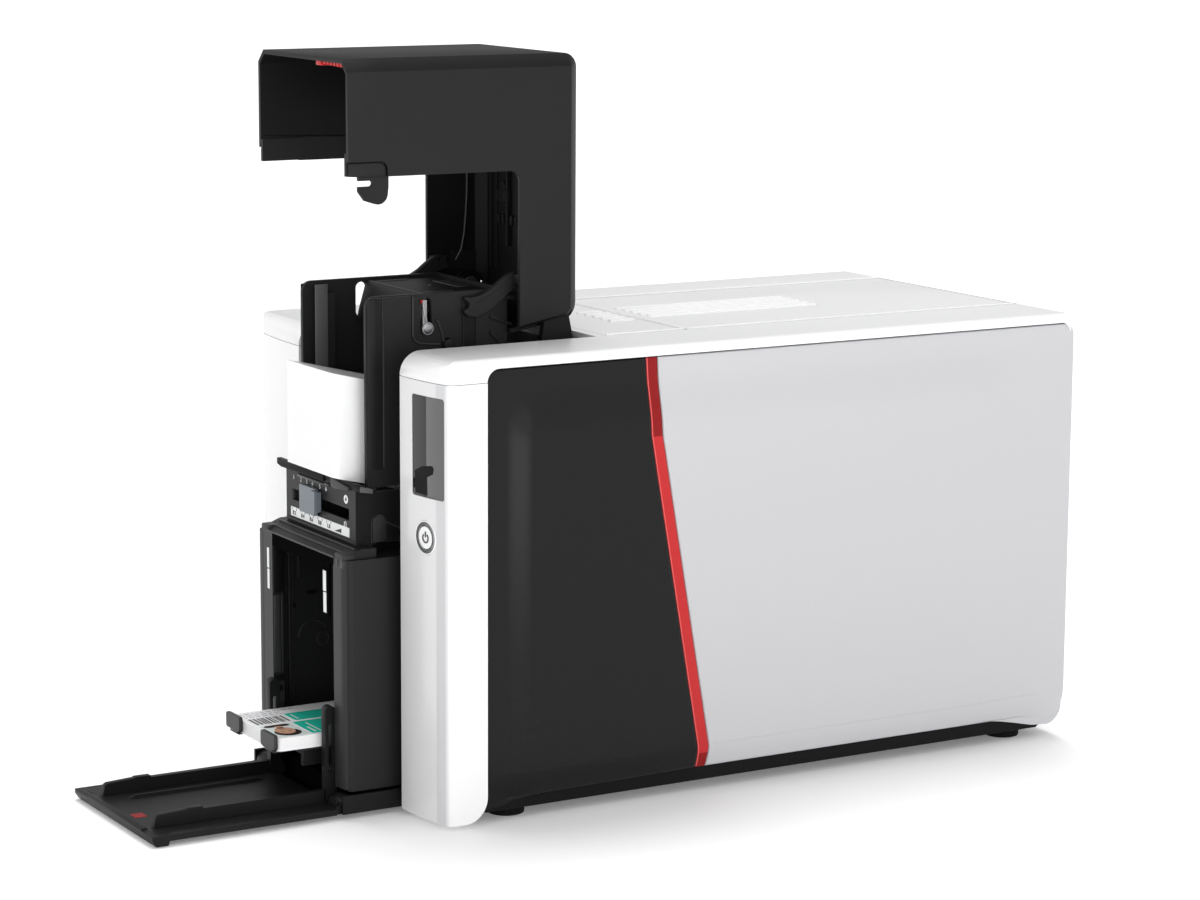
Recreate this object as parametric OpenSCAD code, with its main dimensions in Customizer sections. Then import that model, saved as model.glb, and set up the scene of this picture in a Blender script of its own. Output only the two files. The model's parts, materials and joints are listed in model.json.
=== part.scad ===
// ID card printer: a desktop body with a card feeder, a swing-up feeder hood,
// a fold-down output door and a ribbon lid. Millimetres, +Z up, front towards -Y.
// y_mid moves the body so that the origin is below the middle of the whole footprint.

/* [Body] */
// Width of the body
body_w = 205; // [200:0.5:210]
// Length of the body, columns to rear panel
body_l = 370; // [366:1:374]
// Height of the roof above the table
body_h = 225; // [224:0.5:227]
// Wall thickness of the covers
wall = 2.5; // [2:0.1:3]
// Height of the seam between columns and roof
seam_z = 213.6; // [213:0.1:214]

/* [Bay] */
// Left edge of the front bay
bay_l = -48; // [-49:0.5:-47]
// Right edge of the front bay
bay_r = 62; // [61.5:0.5:63]
// Middle of the card path
path_x = 7; // [6.5:0.1:7.5]

/* [Cards] */
// Card length
card_l = 85.6; // [85:0.1:86]
// Card width
card_w = 54; // [53.5:0.1:54]
// Card corner radius
card_r = 3.18; // [3:0.01:3.5]
// Tilt of the feeder floor in degrees, lower at the back
feed_tilt = 13.6; // [13:0.1:14]

/* [Hood] */
// Distance of the hood pivot behind the body middle (negative is forward)
hood_py = -95; // [-95.2:0.1:-94.8]
// Height of the hood pivot
hood_pz = 242.2; // [242:0.1:242.4]
// Hood wall thickness
hood_t = 2.2; // [2:0.1:2.4]

/* [Mechanism] */
// Height of the card path behind the feeder
path_z = 122; // [121.5:0.5:122.5]
// Diameter of the platen roller
platen_d = 12; // [11:0.5:12]
// Diameter of the drive rollers
roller_d = 11; // [10:0.5:11]
// Shaft diameter of all rollers
shaft_d = 5; // [4.5:0.1:5]
// Running clearance on the radius
fit = 0.06; // [0.04:0.01:0.1]

/* [Hidden] */
y_mid = 63;
hw = body_w/2;
yf = -body_l/2;
yb = body_l/2;
tt = tan(feed_tilt);
$fn = 64;

module at() translate([0,y_mid,0]) children();
module rb(x0,x1,y0,y1,z0,z1) translate([x0,y0,z0]) cube([x1-x0,y1-y0,z1-z0]);
module xc(r,x0,x1,y,z) translate([x0,y,z]) rotate([0,90,0]) cylinder(r=r,h=x1-x0);
module yc(r,y0,y1,x,z) translate([x,y0,z]) rotate([-90,0,0]) cylinder(r=r,h=y1-y0);
module zc(r,z0,z1,x,y) translate([x,y,z0]) cylinder(r=r,h=z1-z0);
// a YZ outline pushed along X, an XZ outline pushed along Y
module ex(x0,x1) translate([x0,0,0]) rotate([90,0,90]) linear_extrude(x1-x0) children();
module ey(y0,y1) translate([0,y1,0]) rotate([90,0,0]) linear_extrude(y1-y0) children();
module ez(z0,z1) translate([0,0,z0]) linear_extrude(z1-z0) children();
function arc(cx,cy,r,a0,a1,n) = [for(i=[0:n]) let(a=a0+(a1-a0)*i/n) [cx+r*cos(a),cy+r*sin(a)]];
module rr(x0,x1,y0,y1,r) { // rounded rectangle with exact corners
  translate([x0+r,y0]) square([x1-x0-2*r,y1-y0]);
  translate([x0,y0+r]) square([x1-x0,y1-y0-2*r]);
  for(p=[[x0+r,y0+r],[x1-r,y0+r],[x0+r,y1-r],[x1-r,y1-r]]) translate(p) circle(r);
}
// height of the feeder floor plane
function fz(y) = 160.4 - tt*(y+200.5);

// ---------- covers ----------
// plan outline of a column, curved front, rounded outer corner; m mirrors it, i insets it
function cfront(x,xi) = yf + 5*pow(max(0,(x-xi)/(hw-xi)),2.2);
module col2d(xi,i) polygon(concat(
   [for(k=[0:10]) let(x=xi+i+(hw-6-xi-i)*k/10) [x, cfront(x,xi)+i]],
   arc(hw-5,cfront(hw-5,xi)+5,5-i,-66,0,8),
   [[hw-i,-160-i],[xi+i,-160-i]]));
module col_body(xi,win) difference() {
  union() {
    ez(3.5,seam_z) col2d(xi,0);
    rb(xi,xi+wall,-162,-130,9,seam_z);
    rb(xi,xi+wall,-131,-78,153,seam_z);
  }
  ez(6.5,seam_z+1) difference() { col2d(xi,wall); translate([xi-1,-162.5]) square([60,5]); }
  rb(xi+wall+2,hw-4,-163,-159,22,seam_z-8);
  // rounded lower rear corner of the visible side
  translate([hw-30,-160,3.5]) ex(0,40) difference() { translate([-12,-0.1]) square([12.1,12.1]); translate([-12,12]) circle(12); }
  if (win) {
    ey(yf-1,yf+7) rr(73.5,98.9,159,207,1.6);
    yc(8.3,yf-2,yf+8,85,140);
  }
}
module column_right() color("white") at() col_body(bay_r,true);
module column_left() color("white") at() mirror([1,0,0]) col_body(-bay_l,false);

module roof_yz(i) polygon(concat([[yf+i,seam_z+0.3-i*0]], arc(yf+11,body_h-11,11-i,180,90,12), arc(yb-7.4,body_h-7.4,7.4-i,90,0,8), [[yb-i,seam_z+0.3]]));
module roof_xz(i) polygon(concat([[-hw+i,seam_z]], arc(-hw+4,body_h-4,4-i,180,90,6), arc(hw-4,body_h-4,4-i,90,0,6), [[hw-i,seam_z]]));
module roof_xy(i) polygon(concat(
   [for(k=[0:10]) let(x=bay_r+(hw-6-bay_r)*k/10) [x, cfront(x,bay_r)+i]],
   arc(hw-5,cfront(hw-5,bay_r)+5,5-i,-66,0,8),
   arc(hw-8,yb-8,8-i,0,90,6), arc(-hw+8,yb-8,8-i,90,180,6),
   [for(k=[0:8]) let(a=-66*k/8) [-(hw-5+(5-i)*cos(a)), cfront(hw-5,-bay_l)+5+(5-i)*sin(a)]] ,
   [for(k=[10:-1:0]) let(x=-bay_l+(hw-6+bay_l)*k/10) [-x, cfront(x,-bay_l)+i]]));
module roof_solid(i) intersection() {
  ex(-hw,hw) roof_yz(i);
  ey(yf-1,yb+1) roof_xz(i);
  ez(seam_z+0.3,body_h+1) roof_xy(i);
}
module roof_shell() color("white") at() difference() {
  roof_solid(0);
  intersection() { roof_solid(wall); rb(-hw,hw,yf,yb,seam_z-1,body_h-wall); }
  // room for the feeder bay
  rb(bay_l,bay_r,yf-1,-78,seam_z-1,body_h+1);
  // opening for vent panel and lid
  rb(-62.4,61.4,-72.6,178.8,seam_z-1,body_h+1);
  // step above the side panels
  for(s=[-1,1]) ex(s>0?hw-3.2:-hw-1,s>0?hw+1:-hw+3.2) polygon(concat([[-160.1,seam_z-1],[-160.1,213.7]], arc(-153.7,213.7,6.4,180,90,8), arc(175.5,213.7,6.4,90,0,8), [[181.9,seam_z-1]]));
  rb(-hw-1,hw+1,181.8,190,seam_z-1,215);
}
// slots of the vents
module slots(xs,y0,y1) for(x=xs) ez(body_h-6,body_h+2) rr(x-1.3,x+1.3,y0,y1,1.25);
module vent_panel() color("white") at() difference() {
  union() { rb(-62,61,-72.2,-27,body_h-wall,body_h);
    rb(-62,61,-72.2,-70,body_h-8,body_h);
    for(x=[-40,36]) rb(x,x+4,-70,-30,body_h-6,body_h-1); }
  slots([-12,-4,4,12,20],-45,-30);
}
module ribbon_lid() color("white") at() difference() {
  union() {
    difference() { rb(-62,61,-26.4,177.3,body_h-wall,body_h); ex(-63,62) polygon([[175.8,body_h+0.1],[177.4,body_h+0.1],[177.4,body_h-1.5],[177.2,body_h-1.5]]); }
    for(x=[-59.5,57]) rb(x,x+2,-24,166,body_h-7,body_h-1);
    rb(-59.5,59,-24,-22,body_h-7,body_h-1);
    for(x=[-52,49]) difference() {
      union() { rb(x,x+6,160,176,body_h-8,body_h-1); xc(4,x,x+6,172,body_h-6); }
      xc(1.5,x-1,x+7,172,body_h-6);
    }
  }
  slots([-17.5,-9.5,-1.5,6.5,14.5],-19,84);
}
module lid_hinge_pins() color("silver") at() for(x=[-52,49]) {
  xc(1.5-0.03,x-4,x+10,172,body_h-6);
  for(dx=[-4,8]) difference() { rb(x+dx,x+dx+2,168.5,175.5,205,body_h-3.2); rb(x+dx-1,x+dx+3,174,176,204,body_h); xc(1.5-0.03,x+dx-1,x+dx+3,172,body_h-6); }
  rb(x-4,x+10,168.5,174,205,207.5);
}
// side panels: outline points in the YZ plane
sp_front = concat([[-159.7,7.6],[-159.7,213.4]], arc(-153.7,213.7,6,180,90,6), [[-72.9,219.7],[-71.7,200],[-70.9,182],[-42.9,24],[-42.5,13.5],[-98,12.7],[-126,12.4],[-134.8,12.1],[-141.4,11.3],[-145.7,9.9],[-150.1,8.8],[-157.7,7.9]]);
sp_stripe = [[-72.6,219.7],[-71.4,200],[-70.6,182],[-42.6,24],[-42.2,13.6],[-36.7,13.6],[-36.5,24],[-64.6,182],[-65.5,200],[-66.5,219.7]];
sp_rear = concat([[-36.4,13.6],[-36.2,24],[-64.3,182],[-65.2,200],[-66.2,219.7]], arc(175.5,213.7,6,90,0,6), arc(171.5,17.5,10,0,-80,8), [[160,8.8],[148,12],[138,13.4],[130,13.6]]);
module sidep(p,x0,x1) ex(x0,x1) polygon(p);
module side_front_right() color([.17,.17,.18]) at() { sidep(sp_front,hw-3,hw); clips(); }
module clips() { rb(hw-8,hw-3,-120,-112,60,66); rb(hw-8,hw-3,-120,-112,160,166); }
module side_stripe_right() color([.75,.12,.13]) at() sidep(sp_stripe,hw-3,hw-0.3);
module side_rear_right() color([.83,.84,.85]) at() { sidep(sp_rear,hw-3,hw); rb(hw-8,hw-3,20,28,60,66); rb(hw-8,hw-3,120,128,160,166); }
module side_front_left() color([.17,.17,.18]) at() mirror([1,0,0]) { sidep(sp_front,hw-3,hw); clips(); }
module side_stripe_left() color([.75,.12,.13]) at() mirror([1,0,0]) sidep(sp_stripe,hw-3,hw-0.3);
module side_rear_left() color([.83,.84,.85]) at() mirror([1,0,0]) { sidep(sp_rear,hw-3,hw); rb(hw-8,hw-3,20,28,60,66); rb(hw-8,hw-3,120,128,160,166); }

module rear_panel() color([.88,.88,.89]) at() difference() {
  union() { ey(182,yb) rr(-hw+1,hw-1,9,214.8,6);
    rb(-hw+6,hw-6,178,182.01,10,13); rb(-hw+6,-hw+9,178,182.01,10,200); rb(hw-9,hw-6,178,182.01,10,200); }
  rb(-84.2,-55.8,170,190,27.8,52.2);
  rb(20,34.4,170,190,29,42);
  rb(39.6,56.6,170,190,29,45);
  for(i=[0:7]) ey(170,190) rr(-34,34,120+8*i,123+8*i,1.4);
  for(i=[0:5]) ey(170,190) rr(70,92,95+6*i,97.6+6*i,1.25);
}
module power_inlet() color([.1,.1,.1]) at() difference() {
  rb(-84,-56,163,yb,28,52);
  difference() { rb(-81,-59,167,190,31,49); for(p=[[-70,42.5],[-75.5,38],[-64.5,38]]) rb(p[0]-1,p[0]+1,166,180,p[1]-2,p[1]+2); }
}
module data_ports() color([.75,.76,.78]) at() {
  difference() { rb(20.2,34.2,168,yb-0.4,29.2,41.8); rb(21.4,33,170,190,30.4,40.6); }
  rb(23,31.4,169.9,181,33,35.4);
  difference() { rb(39.8,56.4,168,yb-0.4,29.2,44.8); rb(41.2,55,171,190,31,43); rb(45.1,51.1,171,190,29.9,32); }
}
module screen_glass() color([.25,.26,.28]) at() {
  // pane set across the curve of the column front, display and its board behind
  intersection() {
    ez(159,207) polygon([[73,yf+0.51],[99,yf+4.33],[99,yf+5.83],[73,yf+2.01]]);
    ey(yf-1,yf+8) rr(73.6,98.8,159.1,206.9,1.5);
  }
  ez(162,204) polygon([[75.6,yf+2.35],[96.8,yf+5.45],[96.8,yf+6.7],[75.6,yf+6.7]]);
  rb(72,97.6,yf+6.6,yf+9,156,210);
}
module button_ring() color([.1,.1,.1]) at() difference() {
  union() { yc(8.2,yf+0.6,yf+6,85,140); yc(10,yf+6,yf+7.5,85,140); }
  yc(5.9,yf-1,yf+9,85,140);
}
module power_button() color("white") at() { yc(5.8,yf+0.4,yf+7.5,85,140); yc(6.8,yf+7.9,yf+9,85,140); yc(5.8,yf+7.4,yf+8,85,140); }
module button_spring() color("silver") at() { // washer stack of the return spring and its seat
  difference() { yc(9,yf+14,yf+16,85,140); yc(2,yf+13,yf+17,85,140); }
  yc(2,yf+11,yf+16,85,140);
  rb(76,94,yf+16,yf+18,128,152);
  for(i=[0:2]) yc(3.4,yf+11.4+i*1.2,yf+12+i*1.2,85,140);
}

// ---------- chassis ----------
module base_tray() color([.2,.2,.21]) at() {
  difference() {
    rb(-98,98,-158,177.9,6,20);
    rb(-96,96,-156,176.05,8,21);
    rb(-50.7,64.7,-160,-150,8,21);
    for(x=[-60,60],y=[-20:8:60]) rb(x-12,x+12,y,y+3,5,9);
  }
}
module rubber_feet() color([.08,.08,.08]) at() for(x=[-80,80],y=[-138,160]) difference() { zc(9,0,6,x,y); zc(2,-1,3,x,y); }
module frame2d(x0,x1) difference() {
  ex(x0,x1) polygon([[-127,8],[176,8],[176,205],[-76,205],[-86,212],[-127,212]]);
  // lightening holes
  ex(x0-1,x1+1) { rr(-110,-60,24,88,8); rr(-40,30,24,92,8); rr(50,84,24,100,8); rr(95,165,20,66,8); rr(60,150,176,196,6); }
}
shaft_pts = [[-104,129.6],[-64,path_z-5.5],[-10,path_z-platen_d/2],[64,path_z-5.5]];
module bores(x0,x1,r) {
  for(p=shaft_pts) xc(r,x0,x1,p[0],p[1]);
  xc(r,x0,x1,44,172); xc(r,x0,x1,-38,172); xc(r,x0,x1,130,path_z); xc(r,x0,x1,-20,150);
}
module frame_right() color([.72,.73,.75]) at() difference() {
  union() { frame2d(57.5,59); rb(57.5,70,10,176,8,9.5); }
  bores(57,60,shaft_d/2+fit);
  for(p=scr) xc(1.5,57,60,p[0],p[1]);
}
module frame_left() color([.72,.73,.75]) at() difference() {
  union() { frame2d(-45.5,-44); rb(-60,-44,10,176,8,9.5); }
  bores(-46,-43,shaft_d/2+fit);
  for(p=scr) xc(1.5,-46,-43,p[0],p[1]);
  xc(11.2,-46,-43,-42,70);
}
scr = [[-120,20],[-120,204],[170,16],[170,199],[-2,200],[40,14]];
module frame_screws() color("silver") at() for(p=scr) {
  xc(1.5,57.5,59,p[0],p[1]); xc(2.8,59,61,p[0],p[1]);
  xc(1.5,-45.5,-44,p[0],p[1]); xc(2.8,-47.5,-45.5,p[0],p[1]);
}
// two lugs that carry the hood pivot, on a cross plate behind the feeder
module hinge_brackets() color([.22,.22,.23]) at() {
  for(x=[-38.4,48.4]) difference() {
    union() {
      rb(x,x+4,-103,-85,185,222);
      ex(x,x+4) polygon([[-103,222],[-100.6,hood_pz],[-89.4,hood_pz],[-85,222]]);
      xc(5.6,x,x+4,hood_py,hood_pz);
    }
    xc(3+fit,x-1,x+5,hood_py,hood_pz);
  }
  rb(-44,57.5,-103,-85,183,185.5);
  for(x=[-44,55.5]) rb(x,x+2,-103,-85,172,185);
}

// ---------- feeder hood ----------
// side outline of the open hood in YZ
module hood_yz(i) polygon(concat([[-208+i*0,307+i*0],[-208,361.5-i]], arc(-90,354.5,7-i,90,0,6),
   arc(-92,241,9,0,-80,8), [[-117,227.4]], [[-117,301.6]], arc(-122,301.6,5,0,90,5)));
module hood_xz(i) polygon([[-42+i,200],[-42+i,355.5],[-36+i*0.6,361.5-i],[50-i*0.6,361.5-i],[56-i,355.5],[56-i,200]]);
module hood_xy(i) polygon([[-42+i,-230],[-42+i,-87],[-38+i*.6,-83-i],[52-i*.6,-83-i],[56-i,-87],[56-i,-230]]);
module hood() color([.16,.16,.165]) at() {
  difference() {
    intersection() { ex(-42,56) hood_yz(0); ey(-230,-60) hood_xz(0); ez(200,400) hood_xy(0); }
    // hollow, open to the front and below, and towards the feeder
    intersection() {
      ex(-42,56) polygon([[-230,200],[-230,361.5-hood_t],[-90,361.5-hood_t],[-83-hood_t,354],[-83-hood_t,241],[-87,239.6],[-100,236],[-119,231.6],[-119,200]]);
      ey(-231,-60) hood_xz(hood_t); ez(190,400) hood_xy(hood_t);
    }
    // corner recesses of the side walls above the latch hook
    for(x=[-43,53.7]) ex(x,x+3.4) { translate([-210,300]) square([22.5,10]); translate([-210,300]) square([18.5,14]); translate([-191.5,310]) circle(4); }
    // gaps in the rear lip for the two lugs
    for(x=[-39.8,47.2]) rb(x,x+6.6,-121,-86.6,220,241);
  }
  // stiffening ribs inside
  for(x=[-12,26]) rb(x,x+1.6,-200,-110,358.3,361.5-hood_t+0.2);
  for(x=[-12,26]) rb(x,x+1.6,-87.6,-83-hood_t+0.2,262,350);
  // pivot bosses on both side walls
  xc(6,-42+hood_t-0.2,-38.4-0.5,hood_py,hood_pz);
  xc(6,52.9,56-hood_t+0.2,hood_py,hood_pz);
  // stop arms, curved forward from the rear
  for(x=[-33.6,44.7]) {
    ex(x,x+2.9) polygon([[-109,250],[-109,256.6],[-113.5,257.2],[-116.4,257.2],[-119,256],[-122.9,253.4],[-126.5,250.6],[-130.6,248.4],[-135,246.6],[-139,246.2],[-142.3,246.4],[-142.6,245.4],
      [-140.2,243.6],[-139.6,242],[-140.6,240.9],[-142.8,240.2],[-142.4,238.4],[-140,236.8],[-136.1,236.3],[-132,237.3],[-127.3,239.9],[-120.7,245],[-115.2,249.2]]);
    rb(x<0?-39.9:x, x<0?x+2.9:53.9, -116.4,-109.4,251.6,256.2);
  }
  for(s=[[-39.9,-38.9],[52.9,53.9]]) rb(s[0],s[1],-104,-90,248,258);
}
module hood_pins() color("silver") at() { xc(3,-39.2,-34.2,hood_py,hood_pz); xc(3,48.2,53.7,hood_py,hood_pz); }
module hood_latch_hook() color([.16,.16,.165]) at() {
  ex(51.7,53.7) difference() {
    polygon(concat([[-208,318],[-208,307.3],[-201.6,306.8],[-201.6,299.9],[-198.4,295.6]], arc(-191.4,298.6,5,-110,-10,5), [[-186,302],[-186,318]]));
    translate([-202,302.2]) square([6.4,2.8]); translate([-195.8,303.6]) circle(1.4);
  }
  ex(-39.7,-37.7) polygon([[-208,318],[-208,307.3],[-186,307.9],[-186,318]]);
}

// ---------- feeder ----------
module feed_wall(x0,x1) ex(x0,x1) difference() {
  polygon(concat([[-193.5,157.5],[-193.5,244]], arc(-188.5,244,5,180,90,5), [[-117.5,249],[-117.5,125.6],[-170,125.6],[-175.5,136],[-175.5,157.5]]));
  // window of the parking latch
  rr(-164.6,-158.4,229.6,247,3);
  // guide slot of the pusher
  rr(-153,-147.4,184,227,2.7);
}
module feeder_walls() color([.15,.15,.155]) at() {
  difference() {
    union() {
      feed_wall(-27.5,-25);
      feed_wall(41.5,44);
      rb(-25.1,41.6,-119.5,-117.5,150,249);
      rb(-27.4,43.9,-117.6,-105,243.4,245.6);
      // vertical guide ribs
      rb(-25.1,-20.8,-187,-178,162,243);
      rb(34.8,41.6,-187,-178,162,243);
      rb(-25.1,-20.8,-136,-130,146,243);
      rb(34.8,41.6,-136,-130,146,243);
      // feet of the walls reaching the side frames
      rb(-44,-27.4,-127,-119,160,166); rb(43.9,57.5,-127,-119,160,166);
      rb(-44,-27.4,-127,-119,140,146); rb(43.9,57.5,-127,-119,140,146);
    }
  }
}
module feeder_floor() color([.15,.15,.155]) at() difference() {
  ex(-24.9,41.4) polygon([[-188.8,fz(-188.8)],[-119.6,fz(-119.6)],[-119.6,136],[-188.8,136]]);
  // opening for the pick roller
  rb(-10,24,-163,-142,130,170);
  xc(shaft_d/2+fit,-18.2,32.2,-152.5,fz(-152.5)-7.9);
}
module pick_roller() color([.25,.25,.26]) at() { xc(7.6,-8,22,-152.5,fz(-152.5)-7.9); xc(shaft_d/2,-18,32,-152.5,fz(-152.5)-7.9);}
module card_pusher() color([.17,.17,.175]) at() {
  rb(-19.6,33.8,-138,-122.5,244.8,247.6); rb(-24.4,40.2,-157.8,-137.5,244.8,247.6);
  // slanted front flap, longer outside the cards
  ex(-24.4,40.2) polygon(concat([[-156,247.6]], arc(-157.6,245.4,2.2,90,165,5), [[-163,235],[-160.8,235],[-157.8,244.9]]));
  for(x=[-24.4,35]) ex(x,x+3.8+(x>0?1.4:0)) polygon([[-163,235.1],[-164.3,229.5],[-162.2,229.5],[-160.8,235.1]]);
  for(x=[-24.4,38.2]) rb(x,x+2,-156,-144,221,245);
  xc(2.2,-30,-22.6,-150.2,224.4); xc(2.2,38.4,46.4,-150.2,224.4);
  rb(-19.6,33.8,-140,-138,234,245);
}
module pusher_latch() color([.8,.8,.82]) at() {
  xc(3,44.1,45.8,-161.5,232.4); xc(1.6,41.6,44.2,-161.5,232.6);
  rb(44.15,45.3,-164,-161.8,233,246);
}
// stack of cards, each one tilted, standing flush at the front
module card_plan(x0,y0,z0,z1) ez(z0,z1) rr(x0,x0+card_w,y0,y0+card_l,card_r);
module blank_cards() color("white") at() intersection() {
  card_plan(path_x-card_w/2,-206,120,230);
  ex(-40,60) polygon([[-207,fz(-207)+0.2],[-110,fz(-110)+0.2],[-110,fz(-110)+50.6],[-207,fz(-207)+50.6]]);
}
module gauge_block() color([.26,.26,.27]) at() difference() {
  union() {
    rb(-31.5,45,-200.3,-189.2,130.4,157.4);
    // flange with a sloped top
    ex(-37.3,51.3) polygon([[-201,160.2],[-196,fz(-196)-0.2],[-194,fz(-194)-0.4],[-194,156.2],[-201,157.4]]);
    rb(42.5,45,-189.3,-176,131,156); rb(-31.5,-29,-189.3,-176,131,156);
    rb(-24,40,-193,-189.2,125.6,131);
  }
  ey(-203,-192) rr(-25,38.2,141.6,147.1,0.8);
  rb(-27,39,-198.6,-189.1,138.4,150.6);
  // arch recess on the visible side
  ex(44.2,46) { translate([-191.7,131]) square([7.5,9.7]); translate([-187.95,140.6]) circle(3.75); }
  // seat of the label
  rb(-26.1,38.8,-201,-200,133.2,138.2);
}
module gauge_slider() color([.5,.53,.56]) at() {
  ey(-202.6,-200.6) rr(-12,5,138.2,151.6,0.8);
  ey(-204.4,-202.5) rr(3.6,8.4,139.6,151,0.6);
  rb(4.5,8.4,-202.8,-200.6,140.6,150.4);
  rb(-3.4,5,-200.7,-198,142.1,146.6);
  rb(-6,7.6,-198.2,-195,140,149);
}
module gauge_label() color("white") at() rb(-25.9,38.6,-200.6,-200,133.4,138);

// ---------- output ----------
module output_hopper() color([.18,.18,.185]) at() difference() {
  union() {
    ez(13,125.6) { translate([-40.8,-206]) square([95.8,95.4]); translate([-36,-211]) square([86,10]); translate([-36,-206]) circle(4.9); translate([50,-206]) circle(5); }
    // visor above the opening
    ex(-38,52.5) polygon([[-211,125.5],[-211,126.3],[-201,130.2],[-193,130.2],[-193,125.5]]);
    for(x=[-44,54.9]) rb(x,x+3.3-(x>0?0.7:0),-122,-114,90,110);
    for(x=[-30,38]) rb(x,x+8,-150,-116,8,13.1);
  }
  // card space, open to the front and, at the top, to the card path
  rb(-26,42.5,-212,-131,12,122.5);
  difference() { rb(-38.4,52.6,-205,-113,16,122.9); for(x=[-17,28]) rb(x,x+3,-206,-112,15,21.8); }
  rb(-24,38,-195,-131,120,127);
  rb(-22,36,-114,-108,86,122);
  for(x=[-41.2,44.4]) rb(x,x+10.8,-211.5,-209,12.9,13.8);
  // slots for the two door levers
  for(x=[-26.6,36.4]) rb(x,x+6.4,-212,-160,12,16.5);
}
door_y = -209.8; door_z = 7;
module door_rail(x0,x1) { ex(x0,x1) polygon([[-216,5],[-279,5],[-279,11.6],[-216,11.6]]);
  ex(x0,x1) polygon([[-278.9,5],[-304.5,5],[-303,10.6],[-301.5,11.4],[-288,12.1],[-287,12.6],[-279.5,12.6],[-278.9,11.8]]); }
module output_door() color([.19,.19,.195]) at() {
  difference() {
    union() {
      rb(-41,55,-307,-216,2.5,5.5);
      rb(-30,44,-216.1,-212.6,2.5,5.5);
      // chamfered front lip
      ex(-41,55) polygon([[-306.9,5.5],[-311,5.5],[-311,3.4],[-309,0.4],[-303,0.4],[-302,2.6],[-306.9,2.6]]);
      for(x=[-24.8,37.6]) door_rail(x,x+3.4);
      for(x=[-12,23]) ex(x,x+1.6) polygon([[-224,5.4],[-296,5.4],[-292,7],[-228,7]]);
      // hinge knuckles
      for(x=[-40.8,44.9]) difference() { union() { xc(4.2,x,x+9.9,door_y,door_z); rb(x,x+9.9,-216.2,door_y,2.8,7);} }
      // two levers that stand beside the cards
      for(x=[-25.4,37.2]) ex(x,x+4.4) polygon(concat([[-215.4,3],[-215.4,50.2]], arc(-212.7,50.2,2.7,180,0,8), [[-210,12],[door_y+3,6],[door_y,3]]));
    }
    for(x=[-50,44]) xc(1.8,x,x+20,door_y,door_z);
    // slot in each lever
    for(x=[-26,36.6]) ex(x,x+6) rr(-213.7,-211.7,20,44,0.95);
  }
}
module door_pins() color("silver") at() { xc(1.8-0.04,-43.9,-30,door_y,door_z); xc(1.8-0.04,44,57,door_y,door_z);
  for(x=[-43.9,55.6]) rb(x,x+1.8,-214,-159,3,12); for(x=[-43.9,55.6]) rb(x,x+1.8,-159.1,-140,8,12); }
module card_tray() color([.14,.14,.145]) at() {
  rb(-17,31,-232,-150,27.4,29.6);
  for(x=[-20.8,19.4]) { ey(-239.4,-237.4) rr(x,x+15.8,32.4,40,1.4); rb(x+7.6,x+13.4,-239.4,-237.4,27.4,33); rb(x+2,x+14.6,-238,-231.5,27.4,29.6); }
  rb(-17,-14,-236,-150,21.9,28); rb(28,31,-236,-150,21.9,28);
}
module printed_cards() color("white") at() card_plan(path_x-card_w/2,-237.2,29.9,38);

// ---------- card drive ----------
pul_x = -50.4; // pulleys outside the left frame, gears outside the pulleys
module roller(k,d,x0,x1,pr) { y=shaft_pts[k][0]; z=shaft_pts[k][1];
  xc(d/2,x0,x1,y,z); xc(shaft_d/2,-57,62,y,z); if(pr>0) { xc(pr,pul_x,pul_x+4,y,z); xc(pr+1,pul_x-0.6,pul_x+0.1,y,z); } }
module gear(r,x0,x1,y,z,n,ph) { xc(r-1.05,x0,x1,y,z); for(i=[0:n-1]) translate([0,y,z]) rotate([360/n*i+ph,0,0]) ex(x0,x1) polygon([[-0.95,r-1.3],[-0.45,r+0.75],[0.45,r+0.75],[0.95,r-1.3]]); }
gear_r = norm([40,13.1])/2;
module feed_roller() color([.2,.2,.2]) at() { roller(0,roller_d,-18,32,0); gear(gear_r,-56,-51.8,shaft_pts[0][0],shaft_pts[0][1],40,0); }
module cleaning_roller() color([.35,.6,.75]) at() { roller(1,roller_d,-20,34,8); gear(gear_r,-56,-51.8,shaft_pts[1][0],shaft_pts[1][1],40,4.24); }
module platen_roller() color([.2,.2,.2]) at() roller(2,platen_d,-20.6,34.6,8.5+(platen_d-12)/2);
module exit_roller() color([.2,.2,.2]) at() roller(3,roller_d,-18,32,8);
module belt2d(o) hull() for(p=[[-64,path_z-5.5,8],[64,path_z-5.5,8],[-42,70,6]]) translate([p[0],p[1]]) circle(p[2]+o);
module drive_belt() color([.12,.12,.12]) at() ex(pul_x+0.2,pul_x+3.8) difference() { belt2d(1.3); belt2d(0.1); }
module motor_pinion() color([.85,.7,.35]) at() { xc(6,pul_x,pul_x+4,-42,70); xc(7,pul_x-0.6,pul_x+0.1,-42,70); xc(2.5,-52,-37,-42,70); }
module main_motor() color([.55,.56,.58]) at() difference() {
  union() { rb(-43.8,-10,-60,-24,52,88); xc(11,-45.4,-43.7,-42,70); }
  xc(2.5+fit,-46,-9,-42,70);
}
module print_head() color([.3,.31,.33]) at() {
  // heat sink on a pivoting arm, thermal edge above the platen
  rb(-24,38,-17,-4,130,142);
  ex(-22,36) polygon([[-14,130.1],[-11,path_z+1.4],[-9,path_z+1.4],[-6,130.1]]);
  for(i=[0:6]) rb(-24,38,-17+i*2,-16+i*2,141.9,148);
  for(x=[-30,42]) { rb(x,x+3,-24,-8,134,153); }
  rb(-30.1,-23.9,-15,-8,134,140); rb(37.9,45,-15,-8,134,140);
  xc(shaft_d/2,-47,61,-20,150);
}
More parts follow.
